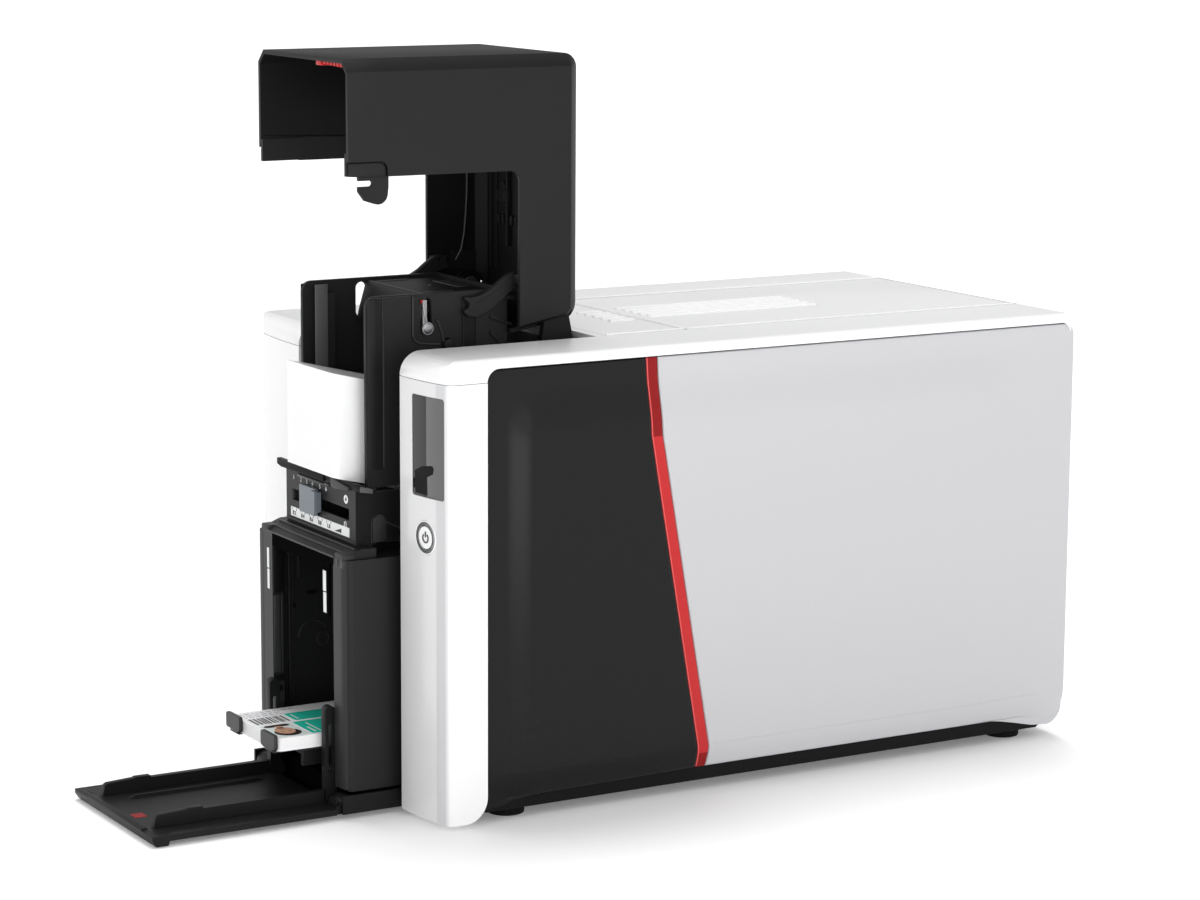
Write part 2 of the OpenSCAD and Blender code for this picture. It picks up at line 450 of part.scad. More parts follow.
module spool(y,z,r) { difference() { xc(r,-26,40,y,z); xc(7,-27,41,y,z); } for(x=[-30,40]) difference() { xc(13,x,x+4,y,z); xc(4,x-1,x+5,y,z);} difference() { xc(7,-26,40,y,z); xc(4,-27,41,y,z);} xc(4,-30,44,y,z); xc(shaft_d/2,-49,62,y,z); }
module ribbon_supply() color([.2,.45,.55]) at() spool(44,172,17);
module ribbon_takeup() color([.35,.2,.35]) at() spool(-38,172,11.5);
module ribbon_motor() color([.55,.56,.58]) at() { rb(-82,-50,-4,26,158,186); xc(10,-50.1,-45.5,10,172); xc(4,-86,-81.9,10,172); }
module card_guides() color([.24,.24,.25]) at() {
  for(x=[-23.6,35.2]) { difference() { rb(x,x+2.4,-96,80,path_z-8,path_z+4); xc(4,x-1,x+4,shaft_pts[1][0],shaft_pts[1][1]); xc(4,x-1,x+4,shaft_pts[2][0],shaft_pts[2][1]); xc(4,x-1,x+4,shaft_pts[3][0],shaft_pts[3][1]); rb(x-1,x+4,-20,0,path_z+0.9,path_z+6); } }
  for(s=[[-56,-22],[4,54]]) rb(-23.6,37.6,s[0],s[1],path_z-3,path_z-1);
  for(y=[-30,30]) { rb(-44,-23.5,y,y+8,path_z-8,path_z-5); rb(37.5,57.5,y,y+8,path_z-8,path_z-5); }
}
module flip_station() color([.3,.3,.32]) at() {
  for(x=[-24,36.4]) difference() { ex(x,x+2.6) { translate([130,path_z]) circle(20); translate([88,path_z-6]) square([84,12]); } xc(2.6,x-1,x+4,130,path_z+40); }
  rb(-24,39,88,172,path_z-4,path_z-2.4); rb(-24,39,88,172,path_z+2.4,path_z+4);
  xc(shaft_d/2,-49,-23.9,130,path_z); xc(shaft_d/2,38.9,62,130,path_z);
}
module main_board() color([.1,.35,.2]) at() {
  rb(76,77.6,-60,150,40,170);
  rb(70,76.1,-40,-10,60,90); rb(72,76.1,20,50,100,130); rb(66,76.1,110,140,50,70); for(i=[0:3]) xc(4,66,76.1,-30+i*14,150);
  for(p=[[-50,46],[88,46],[-50,164],[140,164]]) xc(2.6,59,76.1,p[0],p[1]);
}
module power_supply() color([.7,.71,.72]) at() {
  difference() { rb(-94,-52,40,160,9.5,64); rb(-95,-51,50,150,14,60); }
  rb(-90,-56,52,148,13.9,18); for(y=[66,86,106,126]) rb(-84,-62,y,y+12,17.9,44);
}
module rear_fan() color([.12,.12,.12]) at() difference() {
  rb(68,94,168,178,90,116+14);
  yc(11.5,167,179,81,110);
}
module fan_rotor() color([.15,.15,.15]) at() { yc(4.5,170,177,81,110); for(i=[0:6]) translate([81,173.5,110]) rotate([0,i*360/7,0]) translate([7.4,0,0]) rotate([35,0,0]) cube([7.2,0.9,6],center=true); }

base_tray();
rubber_feet();
column_right();
column_left();
roof_shell();
vent_panel();
ribbon_lid();
lid_hinge_pins();
side_front_right();
side_stripe_right();
side_rear_right();
side_front_left();
side_stripe_left();
side_rear_left();
rear_panel();
power_inlet();
data_ports();
screen_glass();
button_ring();
power_button();
button_spring();
frame_right();
frame_left();
hinge_brackets();
hood();
hood_pins();
hood_latch_hook();
feeder_walls();
feeder_floor();
card_pusher();
pusher_latch();
blank_cards();
gauge_block();
gauge_slider();
gauge_label();
output_hopper();
output_door();
door_pins();
card_tray();
printed_cards();
feed_roller();
pick_roller();
cleaning_roller();
platen_roller();
exit_roller();
drive_belt();
print_head();
ribbon_supply();
ribbon_takeup();
card_guides();
flip_station();
main_motor();
motor_pinion();
ribbon_motor();
main_board();
power_supply();
rear_fan();
fan_rotor();
frame_screws();
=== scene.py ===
import bpy, bmesh, math, random, json
from mathutils import Vector, Matrix
from mathutils import noise as mnoise

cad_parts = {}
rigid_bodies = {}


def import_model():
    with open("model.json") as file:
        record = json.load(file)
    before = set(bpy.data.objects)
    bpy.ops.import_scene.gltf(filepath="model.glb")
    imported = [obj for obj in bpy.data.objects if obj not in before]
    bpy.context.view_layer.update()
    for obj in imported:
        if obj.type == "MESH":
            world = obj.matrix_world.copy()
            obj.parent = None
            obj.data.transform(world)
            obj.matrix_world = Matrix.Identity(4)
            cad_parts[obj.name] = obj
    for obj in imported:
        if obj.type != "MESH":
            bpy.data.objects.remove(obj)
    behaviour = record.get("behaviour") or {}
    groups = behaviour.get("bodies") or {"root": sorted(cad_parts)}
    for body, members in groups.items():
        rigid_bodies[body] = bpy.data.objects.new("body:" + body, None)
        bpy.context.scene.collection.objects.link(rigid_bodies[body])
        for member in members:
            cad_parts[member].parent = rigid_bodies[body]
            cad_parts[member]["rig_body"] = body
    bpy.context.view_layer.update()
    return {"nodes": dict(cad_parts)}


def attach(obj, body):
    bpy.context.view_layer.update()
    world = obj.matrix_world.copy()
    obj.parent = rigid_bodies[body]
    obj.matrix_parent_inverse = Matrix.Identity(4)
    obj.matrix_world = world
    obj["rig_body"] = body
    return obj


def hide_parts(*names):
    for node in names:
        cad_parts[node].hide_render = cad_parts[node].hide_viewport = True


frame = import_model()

rnd = random.Random(7)
MM = 0.001
YM = 63.0          # the working coordinates below are in mm; y is shifted by this to the row frame
HW = 102.5


def P(x, y, z):
    return Vector((x * MM, (y + YM) * MM, z * MM))


# ------------------------------------------------------------------ materials
MATS = {}


def mk(name, col, rough=0.4, var=0.05, rvar=0.06, scale=120.0, bump=0.05, bscale=900.0, metal=0.0,
       spec=0.5, coat=0.0, coat_rough=0.05, dust=0.0, aniso=0.0, brushed=None, ior=1.5, trans=0.0, glow=0.0):
    m = bpy.data.materials.new(name)
    m.use_nodes = True
    nt = m.node_tree
    N, L = nt.nodes, nt.links
    for n in list(N):
        N.remove(n)
    out = N.new("ShaderNodeOutputMaterial")
    b = N.new("ShaderNodeBsdfPrincipled")
    L.new(b.outputs[0], out.inputs[0])
    tc = N.new("ShaderNodeTexCoord")
    src = tc.outputs["Object"]
    if brushed:
        mp = N.new("ShaderNodeMapping")
        mp.inputs["Scale"].default_value = brushed
        L.new(src, mp.inputs[0])
        src2 = mp.outputs[0]
    else:
        src2 = src
    n1 = N.new("ShaderNodeTexNoise")
    n1.inputs["Scale"].default_value = scale
    n1.inputs["Detail"].default_value = 4
    L.new(src2, n1.inputs["Vector"])
    mix = N.new("ShaderNodeMix")
    mix.data_type = "RGBA"
    lo = [max(0.0, c * (1 - var)) for c in col[:3]] + [1]
    hi = [min(1.0, c * (1 + var)) for c in col[:3]] + [1]
    mix.inputs["A"].default_value = lo
    mix.inputs["B"].default_value = hi
    L.new(n1.outputs["Fac"], mix.inputs["Factor"])
    L.new(mix.outputs["Result"], b.inputs["Base Color"])
    n2 = N.new("ShaderNodeTexNoise")
    n2.inputs["Scale"].default_value = scale * 0.35
    n2.inputs["Detail"].default_value = 3
    L.new(src, n2.inputs["Vector"])
    mr = N.new("ShaderNodeMapRange")
    mr.inputs["To Min"].default_value = max(0.02, rough - rvar)
    mr.inputs["To Max"].default_value = min(1.0, rough + rvar)
    L.new(n2.outputs["Fac"], mr.inputs["Value"])
    L.new(mr.outputs["Result"], b.inputs["Roughness"])
    if bump > 0:
        n3 = N.new("ShaderNodeTexNoise")
        n3.inputs["Scale"].default_value = bscale
        n3.inputs["Detail"].default_value = 2
        L.new(src2, n3.inputs["Vector"])
        bp = N.new("ShaderNodeBump")
        bp.inputs["Strength"].default_value = bump
        bp.inputs["Distance"].default_value = 0.0002
        L.new(n3.outputs["Fac"], bp.inputs["Height"])
        L.new(bp.outputs["Normal"], b.inputs["Normal"])
    b.inputs["Metallic"].default_value = metal
    b.inputs["Specular IOR Level"].default_value = spec
    b.inputs["IOR"].default_value = ior
    b.inputs["Coat Weight"].default_value = coat
    b.inputs["Coat Roughness"].default_value = coat_rough
    if trans:
        b.inputs["Transmission Weight"].default_value = trans
    if glow:
        b.inputs["Emission Color"].default_value = (1, 1, 1, 1)
        b.inputs["Emission Strength"].default_value = glow
    MATS[name] = m
    return m


mk("m_white", (0.88, 0.88, 0.885), rough=0.16, var=0.004, rvar=0.012, scale=30, bump=0.0, spec=0.5)
mk("m_roof", (0.87, 0.87, 0.875), rough=0.30, var=0.004, rvar=0.012, scale=30, bump=0.0, spec=0.4)
# painted shade: a darker copy of the white for the inner faces of the right column
mk("m_white_in_shaded", (0.62, 0.62, 0.63), rough=0.45, var=0.02, bump=0.0)
mk("m_grey_panel", (0.525, 0.525, 0.54), rough=0.34, var=0.004, rvar=0.012, scale=30, bump=0.0, spec=0.35)
mk("m_black_panel", (0.0055, 0.0055, 0.0059), rough=0.27, var=0.03, rvar=0.012, scale=40, bump=0.0, spec=0.2)
mk("m_black", (0.0125, 0.0125, 0.013), rough=0.42, var=0.05, rvar=0.02, scale=60, bump=0.03, bscale=2200, spec=0.2)
mk("m_hood", (0.0135, 0.0135, 0.0138), rough=0.48, var=0.05, rvar=0.02, scale=60, bump=0.03, bscale=2200, spec=0.16)
mk("m_inner", (0.0058, 0.0058, 0.0062), rough=0.5, var=0.06, rvar=0.02, scale=60, bump=0.03, bscale=2000, spec=0.18)
mk("m_satin", (0.013, 0.013, 0.0135), rough=0.22, var=0.05, rvar=0.02, bump=0.0, spec=0.4)
mk("m_red", (0.50, 0.022, 0.024), rough=0.35, var=0.03, rvar=0.02, scale=40, bump=0.0, spec=0.2)
# painted highlight: a lighter red for the front edge of the side stripes
mk("m_red_light", (0.72, 0.09, 0.09), rough=0.3, var=0.03, rvar=0.02, bump=0.0, spec=0.3)
# dark red of the latch cap and the door mark, also used as painted shade at the top and bottom of the side stripes
mk("m_red_dark", (0.25, 0.007, 0.008), rough=0.4, var=0.03, rvar=0.02, bump=0.0, spec=0.15)
mk("m_glass", (0.010, 0.010, 0.0105), rough=0.03, var=0.03, rvar=0.005, bump=0.0, spec=0.36)
mk("m_display", (0.075, 0.08, 0.085), rough=0.18, var=0.04, bump=0.0, spec=0.4)
mk("m_steel", (0.52, 0.52, 0.53), rough=0.30, var=0.05, metal=1.0, bump=0.06, bscale=500, brushed=(1, 1, 14))
mk("m_steel_x", (0.52, 0.52, 0.53), rough=0.28, var=0.05, metal=1.0, bump=0.06, bscale=500, brushed=(14, 1, 1))
mk("m_bright", (0.78, 0.78, 0.79), rough=0.22, var=0.03, rvar=0.02, metal=1.0, bump=0.0)
mk("m_zinc", (0.50, 0.51, 0.53), rough=0.42, var=0.10, metal=1.0, bump=0.06, bscale=300, scale=60)
mk("m_brass", (0.72, 0.52, 0.24), rough=0.3, var=0.06, metal=1.0, bump=0.05)
mk("m_motor", (0.12, 0.125, 0.13), rough=0.4, var=0.08, metal=0.6, bump=0.08)
mk("m_rubber", (0.018, 0.018, 0.018), rough=0.75, var=0.12, bump=0.3, bscale=1200, spec=0.3)
mk("m_rubber_blue", (0.06, 0.17, 0.33), rough=0.5, var=0.08, bump=0.2, bscale=900)
mk("m_alu", (0.55, 0.56, 0.57), rough=0.35, var=0.05, metal=1.0, bump=0.08, bscale=700)
mk("m_ribbon", (0.03, 0.10, 0.14), rough=0.18, var=0.2, scale=40, bump=0.05, coat=0.5, brushed=(1, 1, 30))
mk("m_ribbon2", (0.06, 0.025, 0.05), rough=0.18, var=0.25, scale=40, bump=0.05, coat=0.5, brushed=(1, 1, 30))
mk("m_board", (0.015, 0.10, 0.035), rough=0.35, var=0.3, scale=260, bump=0.15, bscale=500, coat=0.3)
mk("m_chip", (0.012, 0.012, 0.013), rough=0.35, var=0.1, bump=0.1)
mk("m_slider", (0.150, 0.178, 0.198), rough=0.32, var=0.03, rvar=0.02, bump=0.0, spec=0.4)
mk("m_label", (0.85, 0.86, 0.86), rough=0.4, var=0.01, bump=0.0)
mk("m_ink", (0.022, 0.022, 0.024), rough=0.5, var=0.1, bump=0.0)
mk("m_ring", (0.055, 0.055, 0.057), rough=0.3, var=0.05, rvar=0.02, bump=0.0)
mk("m_tick", (0.62, 0.63, 0.64), rough=0.5, var=0.03, bump=0.0)
mk("m_card", (0.955, 0.955, 0.96), rough=0.3, var=0.006, rvar=0.02, bump=0.0, spec=0.4)
mk("m_card_grey", (0.55, 0.56, 0.58), rough=0.3, var=0.02, bump=0.0)
mk("m_teal", (0.030, 0.62, 0.46), rough=0.25, var=0.03, bump=0.0)
mk("m_teal_light", (0.30, 0.68, 0.58), rough=0.25, var=0.03, bump=0.0)
mk("m_skin", (0.62, 0.36, 0.24), rough=0.3, var=0.03, bump=0.0)
mk("m_hair", (0.030, 0.018, 0.014), rough=0.4, var=0.1, bump=0.0)
mk("m_floor", (0.96, 0.96, 0.96), rough=0.9, var=0.004, scale=3, bump=0.0, spec=0.0, glow=0.14)
mk("m_mid", (0.027, 0.027, 0.0275), rough=0.38, var=0.04, rvar=0.02, scale=60, bump=0.0, spec=0.35)
mk("m_liner", (0.016, 0.0165, 0.0165), rough=0.42, var=0.05, rvar=0.02, scale=50, bump=0.0, spec=0.25)
mk("m_hop_front", (0.026, 0.026, 0.0265), rough=0.42, var=0.04, rvar=0.02, scale=60, bump=0.03, bscale=2200, spec=0.25)
# painted shade: a darker copy of the column white for the front faces of the right column
mk("m_front_shaded", (0.74, 0.74, 0.742), rough=0.16, var=0.004, rvar=0.012, scale=30, bump=0.0, spec=0.5)
# painted shade: a darker copy of the black for the upward faces of the hood and the card pusher
mk("m_top_shaded", (0.0075, 0.0075, 0.0077), rough=0.5, var=0.05, rvar=0.02, scale=60, bump=0.03, bscale=2200, spec=0.08)
# painted light: a lighter black for faces that stand in shade
mk("m_side", (0.085, 0.085, 0.086), rough=0.45, var=0.04, rvar=0.02, scale=60, bump=0.0, spec=0.2)
mk("m_door", (0.0092, 0.0092, 0.0096), rough=0.42, var=0.05, rvar=0.02, scale=60, bump=0.03, bscale=2200, spec=0.15)
# near-black for the base tray; also used for painted shade and a painted reflection
mk("m_dark", (0.0042, 0.0042, 0.0044), rough=0.5, var=0.06, rvar=0.02, scale=60, bump=0.0, spec=0.12)
mk("m_foot", (0.007, 0.007, 0.007), rough=0.75, var=0.12, bump=0.3, bscale=1200, spec=0.12)
# painted shade: a darker copy of the roof white for its upward faces
mk("m_roof_top_shaded", (0.775, 0.775, 0.78), rough=0.30, var=0.004, rvar=0.012, scale=30, bump=0.0, spec=0.35)
# painted reflection: a lighter glass for part of the display
mk("m_glass_light", (0.115, 0.115, 0.117), rough=0.05, var=0.02, rvar=0.005, scale=20, bump=0.0, spec=0.35)
mk("m_pale", (0.80, 0.90, 0.875), rough=0.25, var=0.01, rvar=0.02, bump=0.0)
mk("m_latch", (0.30, 0.30, 0.31), rough=0.36, var=0.03, rvar=0.02, metal=1.0, bump=0.0)
# painted shade: a flat near-black with no sheen, for pieces that stand in for shade
mk("m_void", (0.004, 0.004, 0.0042), rough=0.95, var=0.05, rvar=0.01, scale=60, bump=0.0, spec=0.0)
# painted highlight: a bright white for the edges of the roof seams and slots
mk("m_lip", (0.96, 0.96, 0.96), rough=0.3, var=0.004, rvar=0.012, scale=30, bump=0.0, spec=0.4)


# ------------------------------------------------------------------ mesh helpers
def sharpen(me, ang=32.0):
    """smooth faces, with hard edges where the surface turns by more than ang, and between a wide flat face and a narrow rounding"""
    bm = bmesh.new()
    bm.from_mesh(me)
    for f in bm.faces:
        f.smooth = True
    a, b = math.radians(ang), math.radians(14)
    area = {f: f.calc_area() for f in bm.faces}
    for e in bm.edges:
        if len(e.link_faces) != 2:
            e.smooth = False
            continue
        t = e.calc_face_angle(0)
        lo, hi = sorted(area[f] for f in e.link_faces)
        e.smooth = not (t > a or (t > b and hi > 2e-5 and hi > 30 * lo))
    bm.to_mesh(me)
    bm.free()


def put(name, me, mats, body, rep=(), sharp=32.0):
    if isinstance(mats, str):
        mats = [mats]
    me.name = name
    for m in mats:
        me.materials.append(MATS[m])
    if sharp:
        sharpen(me, sharp)
    o = bpy.data.objects.new(name, me)
    bpy.context.scene.collection.objects.link(o)
    for n in ([rep] if isinstance(rep, str) else rep):
        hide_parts(n)
    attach(o, body)
    return o


def from_bm(bm, name="x"):
    me = bpy.data.meshes.new(name)
    bmesh.ops.recalc_face_normals(bm, faces=bm.faces)
    bm.to_mesh(me)
    bm.free()
    return me


def bevel_bm(bm, w, seg=2, ang=30.0, sel=None):
    a = math.radians(ang)
    ed = [e for e in bm.edges if len(e.link_faces) == 2 and e.calc_face_angle(0) > a and (sel is None or sel(e))]
    if ed and w > 0:
        bmesh.ops.bevel(bm, geom=ed, offset=w * MM, offset_type="OFFSET", segments=seg, profile=0.5,
                        affect="EDGES", clamp_overlap=True)


def mapper(axis):
    if axis == "x":
        return lambda u, v, a: P(a, u, v)       # (y, z) outline pushed along x
    if axis == "y":
        return lambda u, v, a: P(u, a, v)       # (x, z) outline pushed along y
    return lambda u, v, a: P(u, v, a)           # (x, y) outline pushed along z


def prism(axis, pts, a0, a1, bev=0.4, seg=2, ang=30.0, bm=None):
    """an outline pushed along an axis, with rounded edges; returns a bmesh"""
    f = mapper(axis)
    own = bmesh.new()
    lo = [own.verts.new(f(u, v, a0)) for u, v in pts]
    hi = [own.verts.new(f(u, v, a1)) for u, v in pts]
    n = len(pts)
    own.faces.new(lo)
    own.faces.new(list(reversed(hi)))
    for i in range(n):
        j = (i + 1) % n
        own.faces.new([lo[i], hi[i], hi[j], lo[j]])
    bmesh.ops.recalc_face_normals(own, faces=own.faces)
    bevel_bm(own, bev, seg, ang)
    if bm is None:
        return own
    tmp = bpy.data.meshes.new("t")
    own.to_mesh(tmp)
    own.free()
    bm.from_mesh(tmp)
    bpy.data.meshes.remove(tmp)
    return bm


def rbox(x0, x1, y0, y1, z0, z1, bev=0.4, seg=2, bm=None):
    return prism("z", [(x0, y0), (x1, y0), (x1, y1), (x0, y1)], z0, z1, bev, seg, bm=bm)


def arc(cx, cy, r, a0, a1, n):
    return [(cx + r * math.cos(math.radians(a0 + (a1 - a0) * i / n)), cy + r * math.sin(math.radians(a0 + (a1 - a0) * i / n))) for i in range(n + 1)]


def rrect(x0, x1, y0, y1, r, n=6):
    return arc(x1 - r, y1 - r, r, 0, 90, n) + arc(x0 + r, y1 - r, r, 90, 180, n) + arc(x0 + r, y0 + r, r, 180, 270, n) + arc(x1 - r, y0 + r, r, 270, 360, n)


def lathe(axis, prof, c, seg=48, bm=None):
    """prof: (radius, along) pairs; c: the two other coordinates in mm"""
    bm = bm or bmesh.new()
    rings = []
    for r, a in prof:
        ring = []
        if r < 1e-6:
            q = {"x": P(a, c[0], c[1]), "y": P(c[0], a, c[1]), "z": P(c[0], c[1], a)}[axis]
            ring = [bm.verts.new(q)]
        else:
            for i in range(seg):
                t = 2 * math.pi * i / seg
                u, v = r * math.cos(t), r * math.sin(t)
                q = {"x": P(a, c[0] + u, c[1] + v), "y": P(c[0] + u, a, c[1] + v), "z": P(c[0] + u, c[1] + v, a)}[axis]
                ring.append(bm.verts.new(q))
        rings.append(ring)
    for A, B in zip(rings, rings[1:]):
        if len(A) == 1 and len(B) == 1:
            continue
        for i in range(seg):
            j = (i + 1) % seg
            if len(A) == 1:
                bm.faces.new([A[0], B[i], B[j]])
            elif len(B) == 1:
                bm.faces.new([A[i], B[0], A[j]])
            else:
                bm.faces.new([A[i], B[i], B[j], A[j]])
    return bm


def plate(axis, outline, holes, a0, a1, bev=0.3, res=2):
    """flat plate with holes and rounded edges, made from a filled 2-D curve; returns a mesh"""
    cu = bpy.data.curves.new("c", "CURVE")
    cu.dimensions = "2D"
    cu.fill_mode = "BOTH"
    for loop in [outline] + list(holes):
        sp = cu.splines.new("POLY")
        sp.points.add(len(loop) - 1)
        for p, (u, v) in zip(sp.points, loop):
            p.co = (u * MM, v * MM, 0, 1)
        sp.use_cyclic_u = True
    h = (a1 - a0) / 2
    bev = min(bev, h * 0.95)
    cu.extrude = (h - bev) * MM
    cu.bevel_depth = bev * MM
    cu.bevel_resolution = res
    cu.offset = -bev * MM
    o = bpy.data.objects.new("c", cu)
    bpy.context.scene.collection.objects.link(o)
    dg = bpy.context.evaluated_depsgraph_get()
    me = bpy.data.meshes.new_from_object(o.evaluated_get(dg))
    bpy.data.objects.remove(o)
    bpy.data.curves.remove(cu)
    f = mapper(axis)
    mid = (a0 + a1) / 2
    for v in me.vertices:
        u, w, a = v.co.x / MM, v.co.y / MM, v.co.z / MM
        v.co = f(u, w, mid + a)
    bm = bmesh.new()
    bm.from_mesh(me)
    bmesh.ops.remove_doubles(bm, verts=bm.verts, dist=1e-6)
    bmesh.ops.recalc_face_normals(bm, faces=bm.faces)
    bm.to_mesh(me)
    bm.free()
    me.materials.clear()
    return me


def join_me(*meshes):
    bm = bmesh.new()
    for m in meshes:
        bm.from_mesh(m)
        bpy.data.meshes.remove(m)
    me = bpy.data.meshes.new("j")
    bm.to_mesh(me)
    bm.free()
    return me


def tube(pts, r, bm=None, seg=10, closed=False):
    """round wire along points in mm"""
    cu = bpy.data.curves.new("c", "CURVE")
    cu.dimensions = "3D"
    sp = cu.splines.new("POLY")
    sp.points.add(len(pts) - 1)
    for p, q in zip(sp.points, pts):
        w = P(*q)
        p.co = (w.x, w.y, w.z, 1)
    sp.use_cyclic_u = closed
    cu.bevel_depth = r * MM
    cu.bevel_resolution = max(1, seg // 4)
    cu.use_fill_caps = True
    o = bpy.data.objects.new("c", cu)
    bpy.context.scene.collection.objects.link(o)
    dg = bpy.context.evaluated_depsgraph_get()
    me = bpy.data.meshes.new_from_object(o.evaluated_get(dg))
    bpy.data.objects.remove(o)
    bpy.data.curves.remove(cu)
    me.materials.clear()
    return me


def digits(text, size, depth, place):
    """plain figures as a mesh; place maps (u, v, w) in mm to the row frame"""
    cu = bpy.data.curves.new("f", "FONT")
    cu.body = text
    cu.size = size * MM
    cu.extrude = depth * MM / 2
    cu.align_x = "CENTER"
    cu.align_y = "CENTER"
    o = bpy.data.objects.new("f", cu)
    bpy.context.scene.collection.objects.link(o)
    dg = bpy.context.evaluated_depsgraph_get()
    me = bpy.data.meshes.new_from_object(o.evaluated_get(dg))
    bpy.data.objects.remove(o)
    bpy.data.curves.remove(cu)
    for v in me.vertices:
        v.co = place(v.co.x / MM, v.co.y / MM, v.co.z / MM)
    me.materials.clear()
    return me


def refined(node, bev=0.35, seg=2, ang=30.0, flat=0.6):
    """a copy of a CAD node's mesh as clean polygons with rounded edges"""
    bm = bmesh.new()
    bm.from_mesh(frame["nodes"][node].data)
    bmesh.ops.remove_doubles(bm, verts=bm.verts, dist=2e-6)
    bmesh.ops.dissolve_degenerate(bm, dist=1e-6, edges=bm.edges)
    bmesh.ops.dissolve_limit(bm, angle_limit=math.radians(flat), verts=bm.verts, edges=bm.edges)
    bmesh.ops.recalc_face_normals(bm, faces=bm.faces)
    bevel_bm(bm, bev, seg, ang)
    bmesh.ops.remove_doubles(bm, verts=bm.verts, dist=1e-6)
    me = bpy.data.meshes.new(node)
    bm.to_mesh(me)
    bm.free()
    return me


def paint(me, idx):
    """material index per face; idx(centre in working mm, normal) -> index"""
    for f in me.polygons:
        c = f.center
        f.material_index = idx((c.x / MM, c.y / MM - YM, c.z / MM), f.normal)


def temp(me):
    o = bpy.data.objects.new("tmp", me)
    bpy.context.scene.collection.objects.link(o)
    return o


def baked(o, *gone):
    dg = bpy.context.evaluated_depsgraph_get()
    me = bpy.data.meshes.new_from_object(o.evaluated_get(dg))
    for q in (o,) + gone:
        bpy.data.objects.remove(q)
    me.materials.clear()
    return me


def cut(me, *boxes):
    """take boxes (x0, x1, y0, y1, z0, z1) out of a closed mesh"""
    o = temp(me)
    gone = []
    for b in boxes:
        c = temp(from_bm(rbox(*b, bev=0)) if isinstance(b, tuple) else b)
        m = o.modifiers.new("cut", "BOOLEAN")
        m.operation = "DIFFERENCE"
        m.solver = "EXACT"
        m.object = c
        gone.append(c)
    return baked(o, *gone)


def thick(me, t):
    """sheet made solid, t mm to the back"""
    o = temp(me)
    m = o.modifiers.new("s", "SOLIDIFY")
    m.thickness = t * MM
    m.offset = -1
    m.use_even_offset = True
    return baked(o)


BODY = {n: o["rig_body"] for n, o in frame["nodes"].items()}


def soft(node, mat, bev=0.35, seg=2, ang=30.0, sharp=38.0):
    me = refined(node, bev, seg, ang)
    return put("v_" + node, me, mat, BODY[node], node, sharp)


# ------------------------------------------------------------------ CAD nodes carried over with rounded edges
plain = {
    "rubber_feet": ("m_foot", 0.6),
    "column_right": ("m_white", 0.5), "column_left": ("m_white", 0.5), "roof_shell": ("m_roof", 0.3),
    "vent_panel": ("m_roof", 0.25), "ribbon_lid": ("m_roof", 0.25), "lid_hinge_pins": ("m_steel_x", 0.2),
    "power_inlet": ("m_black", 0.4), "data_ports": ("m_steel", 0.25),
    "frame_right": ("m_zinc", 0.25), "frame_left": ("m_zinc", 0.25), "hinge_brackets": ("m_inner", 0.4),
    "hood_pins": ("m_steel_x", 0.3), "hood_latch_hook": ("m_hood", 0.35),
    "feeder_walls": ("m_hood", 0.4), "feeder_floor": ("m_inner", 0.3), "card_pusher": ("m_hood", 0.4),
    "pusher_latch": ("m_latch", 0.2), "gauge_block": ("m_black", 0.35), "gauge_slider": ("m_slider", 0.3),
    "gauge_label": ("m_label", 0.1), "output_hopper": ("m_black", 0.45), "output_door": ("m_door", 0.4),
    "door_pins": ("m_inner", 0.2), "feed_roller": ("m_rubber", 0.15),
    "pick_roller": ("m_rubber", 0.3), "cleaning_roller": ("m_rubber_blue", 0.15), "platen_roller": ("m_rubber", 0.2),
    "exit_roller": ("m_rubber", 0.2), "drive_belt": ("m_rubber", 0.2), "print_head": ("m_alu", 0.25),
    "ribbon_supply": ("m_ribbon", 0.4), "ribbon_takeup": ("m_ribbon2", 0.4), "card_guides": ("m_inner", 0.3),
    "flip_station": ("m_black", 0.35), "main_motor": ("m_motor", 0.6), "motor_pinion": ("m_brass", 0.25),
    "ribbon_motor": ("m_motor", 0.6), "main_board": ("m_board", 0.15), "power_supply": ("m_zinc", 0.4),
    "rear_fan": ("m_black", 0.5), "fan_rotor": ("m_black", 0.2), "frame_screws": ("m_steel", 0.15),
    "button_spring": ("m_steel", 0.15), }
for node, (m, w) in plain.items():
    soft(node, m, w)


def repaint(node, mats, idx):
    me = bpy.data.objects["v_" + node].data
    for m in mats:
        me.materials.append(MATS[m])
    paint(me, idx)


BT = [(89, 179), (97.9, 168), (101, 168), (101, 179)]
me = cut(refined("base_tray", 0.5), from_bm(prism("z", BT, 4, 22, 0)), from_bm(prism("z", [(-a, b) for a, b in BT], 4, 22, 0)))
for v in me.vertices:
    if abs(v.co.x) > 0.0972:
        v.co.x -= math.copysign(0.0014, v.co.x)
put("v_base_tray", me, "m_dark", BODY["base_tray"], "base_tray", 38)
put("v_card_tray", cut(refined("card_tray", 0.35), (-41, 56, -241, -222, 20, 31.6)), "m_inner", BODY["card_tray"], "card_tray", 38)
RP = [(98.6, 224), (98.6, 212.4), (99.5, 209), (99.5, 27), (98.2, 21.5), (95.6, 16), (91, 12), (84.5, 8.4), (84.5, 4), (106, 4), (106, 224)]
put("v_rear_panel", cut(refined("rear_panel", 0.5), from_bm(prism("y", RP, 180, 187, 0)), from_bm(prism("y", [(-a, b) for a, b in RP], 180, 187, 0))), "m_grey_panel", BODY["rear_panel"], "rear_panel", 38)
# painted shade: the part of the slider behind y -200.3 gets the near-black, so the slot reads dark
repaint("gauge_slider", ["m_dark"], lambda c, n: 1 if c[1] > -200.3 else 0)
